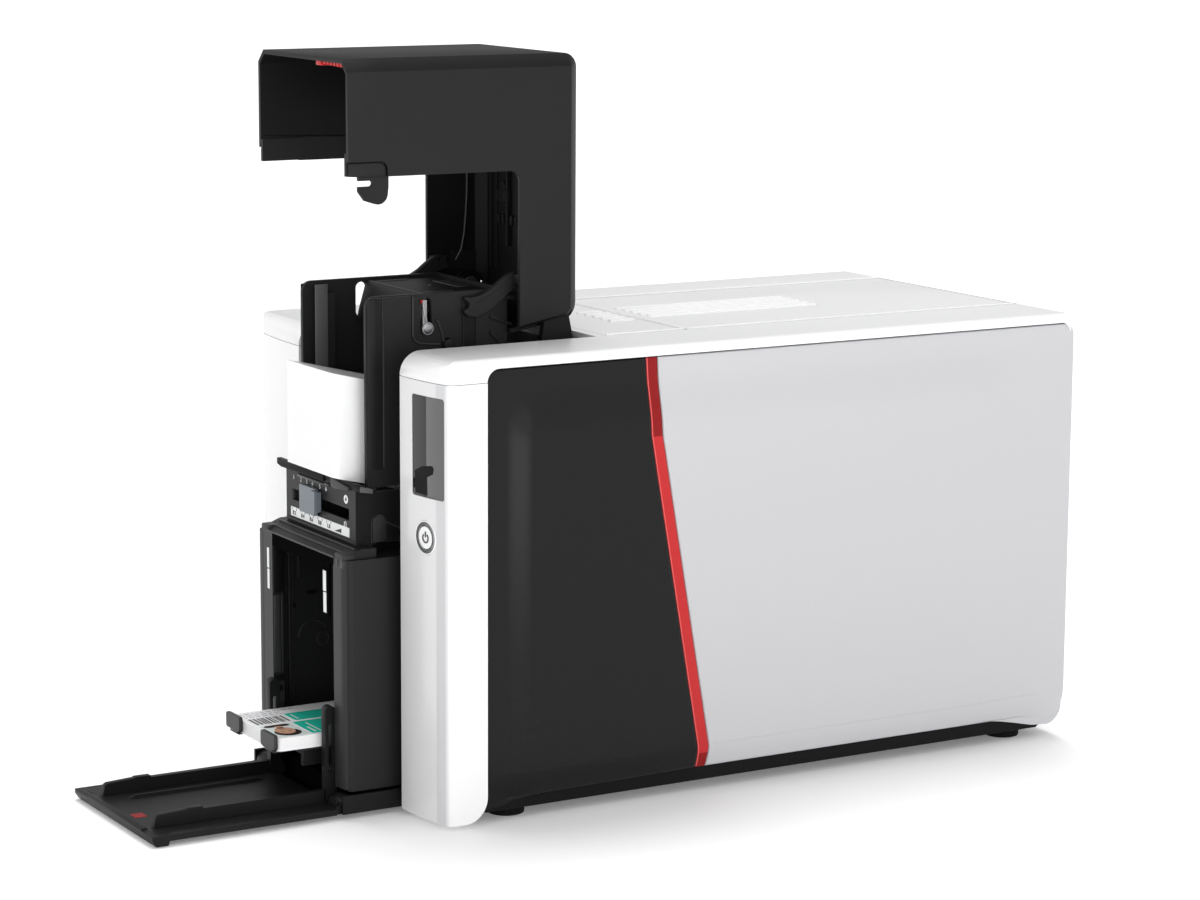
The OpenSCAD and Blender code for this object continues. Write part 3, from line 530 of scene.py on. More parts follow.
# painted shade: the front faces of the right column below z 212.5 get the darker white, and its faces inside, behind
# the display and button, the darker inner white
repaint("column_right", ["m_front_shaded", "m_white_in_shaded"], lambda c, n: 2 if (c[0] < 99.5 and c[1] > -181.5 and c[0] > 64 and c[1] < -163 and c[2] > 8) else (1 if n.y < -0.8 and c[2] < 212.5 else 0))
repaint("output_hopper", ["m_hop_front"], lambda c, n: 1 if n.y < -0.7 and c[1] < -205 else 0)
# painted shade: the upward faces of the pusher get the darker top black
repaint("card_pusher", ["m_top_shaded"], lambda c, n: 1 if n.z > 0.8 else 0)
# painted shade on the flange front, which gets the darker inner black, as do faces at y -190...-188; painted light on
# the right-facing faces, which get the lighter side black
repaint("gauge_block", ["m_inner", "m_side"], lambda c, n: 1 if (c[2] > 154.6 and c[1] < -200.6) or (n.y > -0.5 and -190 < c[1] < -188 and c[2] > 138 and c[2] < 151) else (2 if n.x > 0.7 else 0))
repaint("card_tray", ["m_mid"], lambda c, n: 1 if c[1] < -236.5 else 0)
# painted shade: upward faces of the roof, vent panel and lid get the darker roof white
for node in ("roof_shell", "vent_panel", "ribbon_lid"):
    repaint(node, ["m_roof_top_shaded"], lambda c, n: 1 if n.z > 0.93 and c[2] > 224 else 0)


# ------------------------------------------------------------------ side panels
def inter(poly, z):
    ys = []
    n = len(poly)
    for i in range(n):
        (y0, z0), (y1, z1) = poly[i], poly[(i + 1) % n]
        if (z0 <= z < z1) or (z1 <= z < z0):
            ys.append(y0 + (y1 - y0) * (z - z0) / (z1 - z0))
    return (min(ys), max(ys)) if ys else None


def dist(poly, y, z):
    best = 1e9
    n = len(poly)
    for i in range(n):
        ay, az = poly[i]
        by, bz = poly[(i + 1) % n]
        dy, dz = by - ay, bz - az
        l2 = dy * dy + dz * dz
        t = 0 if l2 == 0 else max(0, min(1, ((y - ay) * dy + (z - az) * dz) / l2))
        d = math.hypot(y - ay - t * dy, z - az - t * dz)
        best = min(best, d)
    return best


def sstep(a, b, x):
    t = max(0.0, min(1.0, (x - a) / (b - a)))
    return t * t * (3 - 2 * t)


def samples(a, b, fine, n):
    """places from a to b, close together near both ends"""
    L = b - a
    out = [a, a + 0.15, a + 0.35, a + 0.6, a + 0.9, a + 1.3, a + 2.0, a + 3.2]
    k = 5.0
    while k < min(fine, L / 2 - 3):
        out.append(a + k)
        k += 1.6
    mid = [q for q in out]
    far = [b - (q - a) for q in out]
    s, e = mid[-1], far[-1]
    body = [s + (e - s) * i / n for i in range(1, n)]
    return mid + body + list(reversed(far))


FOOT = [(-42.5, 13.5), (-98, 12.7), (-126, 12.4), (-134.8, 12.1), (-141.4, 11.3), (-145.7, 9.9), (-150.1, 8.8), (-157.7, 7.9)]
REARFOOT = arc(174.8, 17.3, 10, 0, -84, 12) + [(166, 8.1), (160.5, 9.3), (155, 10.6), (148.5, 12.0), (142, 13.1), (136.8, 13.6), (131, 13.6)]
SP_FRONT = [(-159.7, 7.6), (-159.7, 213.2)] + arc(-153.7, 213.4, 6, 180, 90, 10) + [(-72.9, 219.4), (-71.7, 200), (-70.9, 182), (-42.9, 24)] + FOOT
SP_STRIPE = [(-72.6, 219.4), (-71.4, 200), (-70.6, 182), (-42.6, 24), (-42.2, 13.6), (-36.7, 13.6), (-36.5, 24), (-64.6, 182), (-65.5, 200), (-66.5, 219.4)]
SP_REAR = [(-36.4, 13.6), (-36.2, 24), (-64.3, 182), (-65.2, 200), (-66.2, 219.4)] + arc(178.8, 213.4, 6, 90, 0, 10) + REARFOOT


def low(y):
    """height of the lower edge of the side"""
    for line in (sorted(FOOT), sorted(REARFOOT)):
        for (a, b), (c, d) in zip(line, line[1:]):
            if a <= y <= c and c > a:
                return b + (d - b) * (y - a) / (c - a)
    return 7.6 if y < -157 else (17.3 - math.sqrt(max(0, 100 - min(100, (y - 174.8) ** 2))) if y > 174 else 13.6)


def skin(poly, side, back, rnd_r, pillow, nz=40, ny=40, fine=34, more=()):
    """solid panel over a YZ outline; pillow(y, z) gives the height of its outer face above the side plane"""
    zs = [z for _, z in poly]
    z0, z1 = min(zs), max(zs)
    rows = sorted(set(samples(z0 + 0.001, z1 - 0.001, fine, nz) + [q for q in more if z0 < q < z1]))
    bm = bmesh.new()
    front, rear = [], []
    for z in rows:
        lr = inter(poly, z)
        if lr is None:
            continue
        y0, y1 = lr
        if y1 - y0 > 30:
            cols = samples(y0, y1, fine, ny)
        else:
            cols = [y0 + (y1 - y0) * i / 12 for i in range(13)]
        rf, rb = [], []
        for y in cols:
            d = dist(poly, y, z)
            x = HW + pillow(y, z)
            if d < rnd_r:
                x -= rnd_r - math.sqrt(max(0, rnd_r ** 2 - (rnd_r - d) ** 2))
            rf.append(bm.verts.new(P(side * x, y, z)))
            rb.append(bm.verts.new(P(side * (HW - back), y, z)))
        front.append(rf)
        rear.append(rb)
    def same(R):
        return all(len(a) == len(R[0]) for a in R)
    def faces(R, flip):
        for A, B in zip(R, R[1:]):
            if len(A) != len(B):
                bridge(A, B)
                continue
            for i in range(len(A) - 1):
                bm.faces.new([A[i], A[i + 1], B[i + 1], B[i]] if not flip else [A[i], B[i], B[i + 1], A[i + 1]])
    def bridge(A, B):
        i = j = 0
        while i < len(A) - 1 or j < len(B) - 1:
            if j == len(B) - 1 or (i < len(A) - 1 and (i + 1) / (len(A) - 1) <= (j + 1) / (len(B) - 1)):
                bm.faces.new([A[i], A[i + 1], B[j]])
                i += 1
            else:
                bm.faces.new([A[i], B[j + 1], B[j]])
                j += 1
    faces(front, False)
    faces(rear, True)
    for k in range(len(front) - 1):
        bm.faces.new([front[k][0], front[k + 1][0], rear[k + 1][0], rear[k][0]])
        bm.faces.new([front[k][-1], front[k + 1][-1], rear[k + 1][-1], rear[k][-1]])
    for R, S in ((front[0], rear[0]), (front[-1], rear[-1])):
        for i in range(len(R) - 1):
            bm.faces.new([R[i], R[i + 1], S[i + 1], S[i]])
    return from_bm(bm)


def pil(y, z):
    f = sstep(10.0, 25.5, y + 160)
    r = sstep(24.0, 62.0, 184 - y)
    t = sstep(9.0, 34.0, 219.7 - z)
    h = -2.3 + 2.6 * f * r * t
    zb = low(y)
    q = (25.4 - z) / (25.4 - zb)
    if q > 0:
        h -= 3.3 * min(1, q) ** 1.6
    if -35 < y < 166 and abs(z - 25.6) < 0.35:
        h -= 0.16
    return h


LINES = (13.3, 13.45, 13.62, 13.8, 14.2, 14.8, 24.6, 25.2, 25.3, 25.55, 25.65, 25.9, 26.0, 26.6, 20.9, 21.1, 180.9, 181.1)
for side, tag in ((1, "right"), (-1, "left")):
    put(f"v_side_front_{tag}", skin(SP_FRONT, side, 4.6, 1.0, pil, more=LINES), "m_black_panel", "chassis", f"side_front_{tag}", 50)
    put(f"v_side_rear_{tag}", skin(SP_REAR, side, 4.6, 0.9, pil, 48, 60, more=LINES), "m_grey_panel", "chassis", f"side_rear_{tag}", 50)
    me = skin(SP_STRIPE, side, 4.6, 0.35, lambda y, z: pil(y, z) - 0.35, more=LINES)
    # painted shade: the stripe is darker red above z 181 and below z 21
    paint(me, lambda c, n: 1 if (c[2] > 181 or c[2] < 21) else 0)
    put(f"v_side_stripe_{tag}", me, ["m_red", "m_red_dark"], "chassis", f"side_stripe_{tag}", 50)
    # painted highlight: a thin lighter red lip along the front edge of the stripe
    bm = bmesh.new()
    prev = None
    for k in range(61):
        z = 219.2 - (219.2 - 14.4) * k / 60
        y0 = inter(SP_STRIPE, z)[0]
        x = HW + pil(y0 + 0.3, z)
        q = [bm.verts.new(P(side * (x - 1.6), y0 - 0.12, z)), bm.verts.new(P(side * (x - 0.16), y0 - 0.12, z)),
             bm.verts.new(P(side * (x - 0.16), y0 + 0.5, z)), bm.verts.new(P(side * (x - 1.6), y0 + 0.7, z))]
        if prev:
            for i in range(4):
                bm.faces.new([prev[i], prev[(i + 1) % 4], q[(i + 1) % 4], q[i]])
        else:
            bm.faces.new(q)
        prev = q
    bm.faces.new(prev)
    put(f"v_stripe_highlight_{tag}", from_bm(bm), "m_red_light", "chassis")
    # painted shade: a dark strip in the gap above and behind the panels
    bm = bmesh.new()
    rbox(min(side * 99.3, side * 100.5), max(side * 99.3, side * 100.5), -153, 178.4, 219.38, 220.25, 0.05, 1, bm=bm)
    put(f"v_side_gap_shade_{tag}", from_bm(bm), "m_dark", "chassis")
    # small catches between the roof and the panel
    bm = bmesh.new()
    for y0, y1 in ((-151.2, -144.2), (-1, 5), (164, 170.4)):
        rbox(min(side * 98.4, side * 100.0), max(side * 98.4, side * 100.0), y0 + 1, y1 - 1, 219.3, 220.2, 0.3, 2, bm=bm)
    put(f"v_side_catches_{tag}", from_bm(bm), "m_roof", "chassis")

# ------------------------------------------------------------------ display window and button
YAW = math.atan2(3.82, 26.0)


def yawed(me, y0=-184.49, x0=73.0):
    """turn a piece lying in the plane y = 0 onto the slanted plane of the display"""
    for v in me.vertices:
        x, y = v.co.x / MM - x0, v.co.y / MM - YM
        v.co.x = (x0 + x * math.cos(YAW) - y * math.sin(YAW)) * MM
        v.co.y = (y0 + x * math.sin(YAW) + y * math.cos(YAW) + YM) * MM
    return me


SC = rrect(73.66, 98.98, 159.15, 206.85, 1.5)
put("v_screen_pane", yawed(plate("y", SC, [], 0.02, 1.5, 0.12)), "m_glass", "chassis", "screen_glass")
# painted reflection: a lighter area over the right part of the glass and a dark shape at its lower left
put("v_screen_reflection_light", yawed(plate("y", rrect(84.7, 98.86, 159.3, 206.7, 0.6), [], -0.02, 0.3, 0.015)), "m_glass_light", "chassis")
put("v_screen_reflection_dark", yawed(plate("y", [(75.9, 160.2), (85.6, 159.9), (85.3, 168.7), (89.9, 170.6), (90.7, 173.2), (89.4, 174.6), (81.4, 173.4), (75.2, 170.6)], [], -0.03, 0.3, 0.01)), "m_dark", "chassis")
put("v_screen_seal", yawed(plate("y", rrect(73.6, 99.06, 159.08, 206.92, 1.56), [rrect(73.9, 98.76, 159.4, 206.6, 1.3)], -0.05, 0.3, 0.04)), "m_ring", "chassis")
bm = bmesh.new()
prism("z", [(75.6, -182.5), (96.8, -179.4), (96.8, -178.4), (75.6, -178.4)], 162, 204, 0.2, bm=bm)
rbox(72, 97.6, -178.4, -176.2, 156, 210, 0.2, bm=bm)
for z in (159, 207):
    for x in (75, 94.5):
        lathe("y", [(0, -175.6), (1.6, -175.6), (1.8, -176.3), (0, -176.3)], (x, z), 20, bm=bm)
rbox(80, 90, -176.3, -174.8, 170, 182, 0.2, bm=bm)
put("v_screen_module", from_bm(bm), "m_ink", "chassis")


def yprof(prof, c, seg=64):
    bm = lathe("y", prof, c, seg)
    return from_bm(bm)


def sloped(me):
    for v in me.vertices:
        v.co.y += (1.15 + 0.138 * (v.co.x / MM - 85)) * MM
    return me


me = yprof([(8.15, -178.6), (8.15, -184.75), (7.95, -184.95), (7.55, -184.97), (7.5, -184.85), (6.75, -184.85), (6.7, -184.95),
            (6.1, -184.93), (5.92, -184.75), (5.92, -178.6), (8.15, -178.6)], (85, 140))
paint(me, lambda c, n: 1 if 6.0 < math.hypot(c[0] - 85, c[2] - 140) < 7.6 and n.y < -0.5 else 0)
put("v_button_ring", sloped(me), ["m_white", "m_ring"], "chassis", "button_ring", 40)
me = yprof([(6.8, -176), (6.8, -177.1), (5.8, -177.1), (5.8, -184.5), (5.6, -184.75), (5.2, -184.8), (3.2, -184.72), (0, -184.65)], (85, 140))
put("v_power_button", sloped(me), "m_white", "power_button", "power_button", 40)
me = yprof([(5.75, -184.66), (5.55, -184.84), (5.3, -184.84), (5.2, -184.66), (5.75, -184.66)], (85, 140))
put("v_button_line", sloped(me), "m_ring", "power_button", (), 40)
pts = [(85 + 2.1 * math.sin(math.radians(a)), -184.72, 139.8 + 2.1 * math.cos(math.radians(a))) for a in range(38, 323, 12)]
me = join_me(tube(pts, 0.42), tube([(85, -184.72, 140.2), (85, -184.72, 142.9)], 0.42))
put("v_power_mark", sloped(me), "m_ring", "power_button", (), 40)

# ------------------------------------------------------------------ feeder hood
HP = [(-208, 361.5), (-190, 361.5), (-165, 361.5), (-140, 361.5), (-115, 361.5)] + arc(-90, 354.5, 7, 90, 0, 10) + [(-83, 330), (-83, 300), (-83, 270)] + arc(-92, 241, 9, 0, -80, 10) + [(-103.7, 229.8), (-117, 227.4)]
HN = [(0, 1)] * 5 + [(math.cos(math.radians(90 - 9 * i)), math.sin(math.radians(90 - 9 * i))) for i in range(11)] + [(1, 0)] * 3 + [(math.cos(math.radians(-8 * i)), math.sin(math.radians(-8 * i))) for i in range(11)] + [(0.174, -0.985)] * 2
HWID = [6.0] * 19 + [6.0 - 0.15 * i for i in range(11)] + [4.5] * 2
bm = bmesh.new()
rings = []
for (y, z), (ny, nz), w_ in zip(HP, HN, HWID):
    i_y, i_z = y - ny * w_, z - nz * w_
    if y <= -116.9 and z < 300:
        i_y, i_z = -117, 231.7
    if abs(y + 208) < 0.01:
        i_y = -208
    rings.append([bm.verts.new(P(56, i_y, i_z)), bm.verts.new(P(50, y, z)), bm.verts.new(P(-36, y, z)), bm.verts.new(P(-42, i_y, i_z))])
for A, B in zip(rings, rings[1:]):
    for i in range(3):
        bm.faces.new([A[i], A[i + 1], B[i + 1], B[i]])
lower = [(-117, 301.6)] + arc(-122, 301.6, 5, 0, 90, 6)[1:] + [(-187.5, 306.8), (-187.5, 309.6)] + arc(-191.5, 310, 4, 5, 90, 6) + [(-208, 314)]
for k, x in ((0, 56), (3, -42)):
    extra = [bm.verts.new(P(x, y, z)) for y, z in lower]
    bm.faces.new([r[k] for r in rings] + extra)
bmesh.ops.recalc_face_normals(bm, faces=bm.faces)
if sum(f.normal.z * f.calc_area() for f in bm.faces if f.calc_center_median().z > 0.36) < 0:
    bmesh.ops.reverse_faces(bm, faces=bm.faces)
me = bpy.data.meshes.new("hood")
bm.to_mesh(me)
bm.free()
me = thick(me, 2.2)
bm = bmesh.new()
bm.from_mesh(me)
bevel_bm(bm, 0.4, 2, 28)
me = bpy.data.meshes.new("hood")
bm.to_mesh(me)
bm.free()
me = cut(me, (-39.9, -33.1, -119, -86.4, 220, 242), (47.1, 53.9, -119, -86.4, 220, 242))
# painted shade: the inner faces of the hood get the darker inner black, and its upward faces the darker top black
paint(me, lambda c, n: 1 if (-39.9 < c[0] < 53.9 and -208 < c[1] < -85.1 and c[2] < 359.4 and (c[2] > 314.5 or c[1] > -116.8)) else (2 if n.z > 0.8 else 0))
put("v_hood_shell", me, ["m_hood", "m_inner", "m_top_shaded"], "hood", "hood", 30)

ARM = [(-109, 250), (-109, 256.6), (-113.5, 257.2), (-116.4, 257.2), (-119, 256), (-122.9, 253.4), (-126.5, 250.6), (-130.6, 248.4), (-135, 246.6), (-139, 246.2),
       (-142.3, 246.4), (-142.6, 245.4), (-140.2, 243.6), (-139.6, 242), (-140.6, 240.9), (-142.8, 240.2), (-142.4, 238.4), (-140, 236.8), (-136.1, 236.3), (-132, 237.3),
       (-127.3, 239.9), (-120.7, 245), (-115.2, 249.2)]
bm = bmesh.new()
for x in (-33.6, 44.7):
    prism("x", ARM, x, x + 2.9, 0.5, 2, bm=bm)
    prism("x", [(y + (-125 - y) * 0.0, z) for y, z in [(-111, 252), (-117, 254.5), (-124, 249.3), (-131, 245.6), (-137, 243.6), (-131, 243.6), (-123.6, 246.2), (-116, 251.4)]], x - 0.25, x + 3.15, 0.2, 1, bm=bm)
    rbox(-39.9 if x < 0 else x, x + 2.9 if x < 0 else 53.9, -116.4, -109.4, 251.6, 256.2, 0.6, 2, bm=bm)
    lathe("x", [(0, x - 0.5), (2.2, x - 0.5), (2.2, x + 3.4), (0, x + 3.4)], (-113, 253.9), 20, bm=bm)
for x in (-12, 26):
    rbox(x, x + 1.6, -200, -110, 358.3, 359.5, 0.2, 1, bm=bm)
    rbox(x, x + 1.6, -87.6, -85, 262, 350, 0.2, 1, bm=bm)
for x in (-31, -25, -3, 6, 15, 36, 43):
    rbox(x, x + 0.9, -86.3, -85, 250, 352, 0.2, 1, bm=bm)
lathe("x", [(0, -40), (6, -40), (6, -39.1), (5.6, -38.9), (0, -38.9)], (-95, 242.2), 40, bm=bm)
lathe("x", [(0, 52.9), (5.6, 52.9), (6, 53.1), (6, 54), (0, 54)], (-95, 242.2), 40, bm=bm)
for x in (-39.9, 52.9):
    rbox(x, x + 1, -104, -90, 248, 258, 0.2, 1, bm=bm)
put("v_hood_inside", from_bm(bm), "m_hood", "hood")
# thicker lower band and step on the inner side walls, curved ridge, small pads at the back
bm = bmesh.new()
prism("x", [(-207, 307.5), (-207, 319.5), (-124, 316.6), (-124, 307.5)], -39.9, -38.9, 0.35, 2, bm=bm)
prism("x", [(-207.4, 307.2), (-207.4, 313.4), (-192, 313.4)] + arc(-191.7, 309.8, 3.6, 85, 0, 6) + [(-188.1, 307.2)], -41.6, -37.9, 0.4, 2, bm=bm)
prism("x", [(-207.4, 307.2), (-207.4, 313.4), (-192, 313.4)] + arc(-191.7, 309.8, 3.6, 85, 0, 6) + [(-188.1, 307.2)], 51.9, 55.2, 0.4, 2, bm=bm)
prism("x", [(-207, 307.5), (-207, 319.5), (-124, 316.6), (-124, 307.5)], 52.9, 53.9, 0.35, 2, bm=bm)
rbox(-22, -10, -87, -85, 284, 290, 0.4, 2, bm=bm)
for k in range(6):
    rbox(-23 + 4.4 * k, -20.8 + 4.4 * k, -86.6, -85, 272.6, 277.5, 0.3, 1, bm=bm)
lathe("y", [(0, -87.2), (2.6, -87.2), (2.6, -85), (0, -85)], (-16, 291.5), 24, bm=bm)
put("v_hood_pads", from_bm(bm), "m_hood", "hood")
me = tube([(-39.3, -94.8, 300), (-39.3, -94.9, 288), (-39.3, -95.6, 276), (-39.3, -96.6, 266), (-39.3, -98.2, 258.5), (-39.3, -101.5, 253)], 0.7)
put("v_hood_ridge", me, "m_satin", "hood")
# red insert at the top of the front edge
bm = bmesh.new()
rbox(21.5, 27.2, -207.6, -200, 357.2, 359.4, 0.3, 2, bm=bm)
for k in range(6):
    rbox(28.6 + 3.5 * k, 31.0 + 3.5 * k, -207.3, -203.4, 357.9 - 0.1 * k, 359.4, 0.25, 1, bm=bm)
rbox(28, 49, -206.2, -205.2, 358.6, 359.4, 0.1, 1, bm=bm)
put("v_hood_red", from_bm(bm), "m_red", "hood")

# ------------------------------------------------------------------ cards
TT = math.tan(math.radians(13.6))


def fz(y):
    return 160.4 - TT * (y + 200.5)


def card_stack(name, n, t, x0, x1, y0, y1, zf, body, rep, jit, shear):
    bm = bmesh.new()
    for k in range(n):
        dx, dy = rnd.uniform(-jit, jit), rnd.uniform(-jit, jit)
        out = rrect(x0 + dx, x1 + dx, y0 + dy, y1 + dy, 3.2, 5)
        for kind in (0,):
            lo = [bm.verts.new(P(x, y, zf(y) + k * t + 0.01)) for x, y in out]
            hi = [bm.verts.new(P(x, y, zf(y) + (k + 1) * t - 0.015)) for x, y in out]
            q = len(out)
            bm.faces.new(lo)
            bm.faces.new(list(reversed(hi)))
            for i in range(q):
                j = (i + 1) % q
                bm.faces.new([lo[i], hi[i], hi[j], lo[j]])
    me = from_bm(bm)
    return put(name, me, "m_card", body, rep, 40)


card_stack("v_blank_cards", 63, 0.8, -20, 34, -206, -206 + 83.0, lambda y: fz(y) + 0.2, "blank_cards", "blank_cards", 0.02, True)
card_stack("v_printed_cards", 8, 0.81, -20, 34, -237.2, -237.2 + 85.6, lambda y: 31.52, "printed_cards", "printed_cards", 0.05, False)

# ------------------------------------------------------------------ painted highlights: bright strips on the edges of the seams and slots of the roof, and white fills in the slots in place of their shade
def highlight_lips(name, rows, body):
    bm = bmesh.new()
    for x0, x1, y0, y1, *top in rows:
        rbox(x0, x1, y0, y1, 223.2, top[0] if top else 225.7, 0.16, 2, bm=bm)
    put(name, from_bm(bm), "m_lip", body)


highlight_lips("v_roof_edge", [(-64.0, -62.4, -72, 177)], "chassis")
highlight_lips("v_vent_edges", [(59.7, 61, -72, -27.2), (-60, 59.7, -27.9, -27.0)] + [(x - 3.6, x - 0.95, -44.6, -30.4) for x in (-12, -4, 4, 12, 20)] + [(x - 0.93, x + 0.5, -44.3, -30.7, 224.6) for x in (-12, -4, 4, 12, 20)], "chassis")
highlight_lips("v_lid_edges", [(59.7, 61, -26.2, 175), (-62, 61, -26.4, -25.6)] + [(x - 3.6, x - 0.95, -18.6, 83.6) for x in (-17.5, -9.5, -1.5, 6.5, 14.5)] + [(x - 0.93, x + 0.5, -18.3, 83.3, 224.6) for x in (-17.5, -9.5, -1.5, 6.5, 14.5)], BODY["ribbon_lid"])

# ------------------------------------------------------------------ gauge front
me = None
for k, (x, t) in enumerate(zip((-22.4, -14.3, -7.8, -1.5, 6.8, 13.7), ("1", "2", "3", "4", "5", "6"))):
    d = digits(t, 3.3, 0.22, lambda u, v, w, x=x: P(x + u, -200.44 + w, 152.9 + v))
    me = join_me(me, d) if me else d
put("v_gauge_figures", me, "m_tick", "chassis", (), None)
me = None
for x, t in ((-21.8, "0.2"), (-12.2, "0.4"), (-2.6, "0.6"), (7.0, "0.8"), (16.6, "1.0")):
    d = digits(t, 2.9, 0.17, lambda u, v, w, x=x: P(x + u, -200.68 + w, 135.2 + v))
    me = join_me(me, d) if me else d
bm = bmesh.new()
for k in range(10):
    x = -24.2 + 4.8 * k
    rbox(x, x + 0.35, -200.74, -200.6, 136.6, 137.7 if k % 2 else 137.5, 0.04, 1, bm=bm)
prism("y", [(23.2, 134.2), (30.4, 134.2), (30.4, 136.4)], -200.74, -200.6, 0.03, 1, bm=bm)
me = join_me(me, from_bm(bm))
put("v_label_print", me, "m_ink", "chassis", (), None)
bm = bmesh.new()
prism("y", [(31.9, 133.6), (35.6, 133.6), (35.6, 136.0), (34.9, 136.9), (31.9, 136.9)], -200.55, -200.2, 0.1, 2, bm=bm)
put("v_label_tab", join_me(from_bm(bm), tube([(33.2, -200.3, 136.6), (33.2, -200.3, 139.2)] + [(34.2 + 1.0 * math.cos(math.radians(a)), -200.3, 139.4 + 1.0 * math.sin(math.radians(a))) for a in (150, 110, 70, 30)] + [(35.2, -200.3, 139.2), (35.2, -200.3, 136.6)], 0.24)), "m_label", "chassis", (), 40)
me = yprof([(0.95, -200.1), (0.95, -200.45), (1.05, -200.52), (2.05, -200.52), (2.15, -200.45), (2.15, -200.1), (0.95, -200.1)], (35.2, 151.5), 40)
put("v_gauge_ring", me, "m_label", "chassis", (), 40)
bm = bmesh.new()
rbox(-17, 14, -201.5, -200.2, 154.4, 155.7, 0.3, 2, bm=bm)
rbox(14.6, 19.6, -202.0, -200.2, 155.0, 156.3, 0.3, 2, bm=bm)
prism("y", [(22.3, 160.2), (22.3, 156.2), (25.0, 155.4), (40.8, 156.6), (41.0, 158.4), (27, 159.8)], -202.4, -200.2, 0.3, 2, bm=bm)
prism("x", [(-184.2, 141.2), (-176.2, 137.2), (-176.2, 136.4), (-184.2, 140.4)], 44.9, 45.35, 0.1, 1, bm=bm)
rbox(-30.6, 44.4, -201.0, -200.2, 131.6, 132.3, 0.2, 2, bm=bm)
prism("x", [(-191.2, 131.2), (-191.2, 140.6)] + arc(-187.95, 140.6, 3.25, 180, 0, 10) + [(-184.7, 131.2)], 44.1, 45.6, 0.5, 2, bm=bm)
put("v_gauge_clips", from_bm(bm), "m_mid", "chassis", (), 40)
# painted shade: dark bands along the front of the gauge flange, where its underside is in shade
bm = bmesh.new()
prism("y", [(-38.4, 160.5), (-38.4, 157.5), (-34.0, 156.5), (14.0, 156.9), (14.0, 160.5)], -202.2, -199.6, 0.35, 2, bm=bm)
rbox(14.0, 51.0, -201.6, -199.6, 158.9, 160.5, 0.35, 2, bm=bm)
put("v_gauge_edge_shade", from_bm(bm), "m_dark", "chassis", (), 40)

# ------------------------------------------------------------------ feeder walls, outer plates and inner trim
PLATE2 = [(-184.3, 166), (-184.3, 248.2), (-169.8, 248.4), (-169.8, 229.5)] + arc(-164.4, 229.2, 5.3, 180, 262, 8) + [(-158.8, 223.1), (-155.0, 222.8), (-155.0, 166)]
bm = bmesh.new()
for x0, x1 in ((44, 44.55), (-28.05, -27.5)):
    prism("x", PLATE2, x0, x1, 0.22, 2, bm=bm)
    prism("x", [(-193.2, 166), (-193.2, 247.6), (-188.7, 247.8), (-188.7, 166)], x0, x1, 0.22, 2, bm=bm)
    prism("x", [(-135, 168), (-135, 239), (-133, 241), (-127.6, 241), (-127.6, 168)], x0, x1, 0.2, 2, bm=bm)
    prism("x", [(-142.1, 168), (-142.1, 246), (-141.2, 246), (-141.2, 168)], x0, x1 + (0.25 if x0 > 0 else 0), 0.15, 1, bm=bm)
    prism("x", [(-127.4, 236.6), (-115.6, 232.2), (-115.6, 230.8), (-127.4, 235.2)], x0, x1 + (0.5 if x0 > 0 else 0), 0.2, 2, bm=bm)
    prism("x", [(-127.2, 229), (-120, 221.6), (-120, 220.2), (-127.2, 227.6)], x0, x1 + (0.3 if x0 > 0 else 0), 0.2, 2, bm=bm)
put("v_feeder_plates", from_bm(bm), "m_hood", "chassis", (), 40)
me = tube([(44.45, y, z) for y, z in [(-168.9, 247.6), (-168.9, 232)] + arc(-164.2, 230.0, 4.7, 180, 258, 8) + [(-159.0, 224.6), (-154.6, 224.3)]], 0.42)
me = join_me(me, tube([(44.35, y, z) for y, z in [(-156.3, 236.2), (-155.2, 234.6), (-153.2, 229.6), (-152.2, 225.2)]], 0.5),
             tube([(44.2, y, 248.3) for y in (-192, -170.4)], 0.3), tube([(44.2, -184.6, z) for z in (167, 248)], 0.22))
put("v_feeder_lines", me, "m_mid", "chassis", (), 40)
# painted shade: dark sheets at the bottom of the grooves of the feeder walls
bm = bmesh.new()
for x0, x1 in ((43.98, 44.12), (-27.62, -27.48)):
    rbox(x0, x1, -188.6, -184.4, 166, 247.8, 0.02, 1, bm=bm)
    rbox(x0, x1, -141, -135.2, 168, 238, 0.02, 1, bm=bm)
put("v_feeder_groove_shade", from_bm(bm), "m_inner", "chassis", (), None)
# painted light: a lighter strip at x -20.9 in the feeder
bm = bmesh.new()
prism("z", [(-20.9, -189.0), (-20.9, -181.9), (-20.5, -182.1), (-20.5, -188.6)], 164, 247.6, 0.15, 1, bm=bm)
put("v_feeder_inner", from_bm(bm), "m_side", "chassis", (), 40)
bm = bmesh.new()
rbox(44.3, 45.2, -165.0, -163.2, 244.6, 246.2, 0.2, 2, bm=bm)
put("v_latch_cap", from_bm(bm), "m_red_dark", "chassis", (), 40)
bm = bmesh.new()
lathe("x", [(0, 46.25), (1.6, 46.2), (2.5, 45.95), (2.7, 45.7), (2.7, 45.0), (0, 45.0)], (-161.5, 232.4), 32, bm=bm)
prism("x", [(-164.2, 244.2), (-163.2, 244.2), (-161.2, 234), (-162.6, 234)], 45.2, 45.7, 0.12, 2, bm=bm)
put("v_latch_head", from_bm(bm), "m_latch", "chassis", (), 40)
me = tube([(-23.6, -157.75, 247.0), (39.4, -157.75, 247.0)], 0.75)
bm = bmesh.new()
lathe("z", [(0, 248.3), (0.8, 248.2), (1.0, 247.9), (1.0, 247.4), (0, 247.4)], (9, -141), 20, bm=bm)
for x in (-18, 30):
    rbox(x, x + 1.2, -156, -140, 247.4, 247.95, 0.2, 2, bm=bm)
rbox(-6, 20, -132, -124.4, 247.4, 248.0, 0.25, 2, bm=bm)
put("v_pusher_trim", join_me(me, from_bm(bm)), "m_mid", BODY["card_pusher"], (), 40)

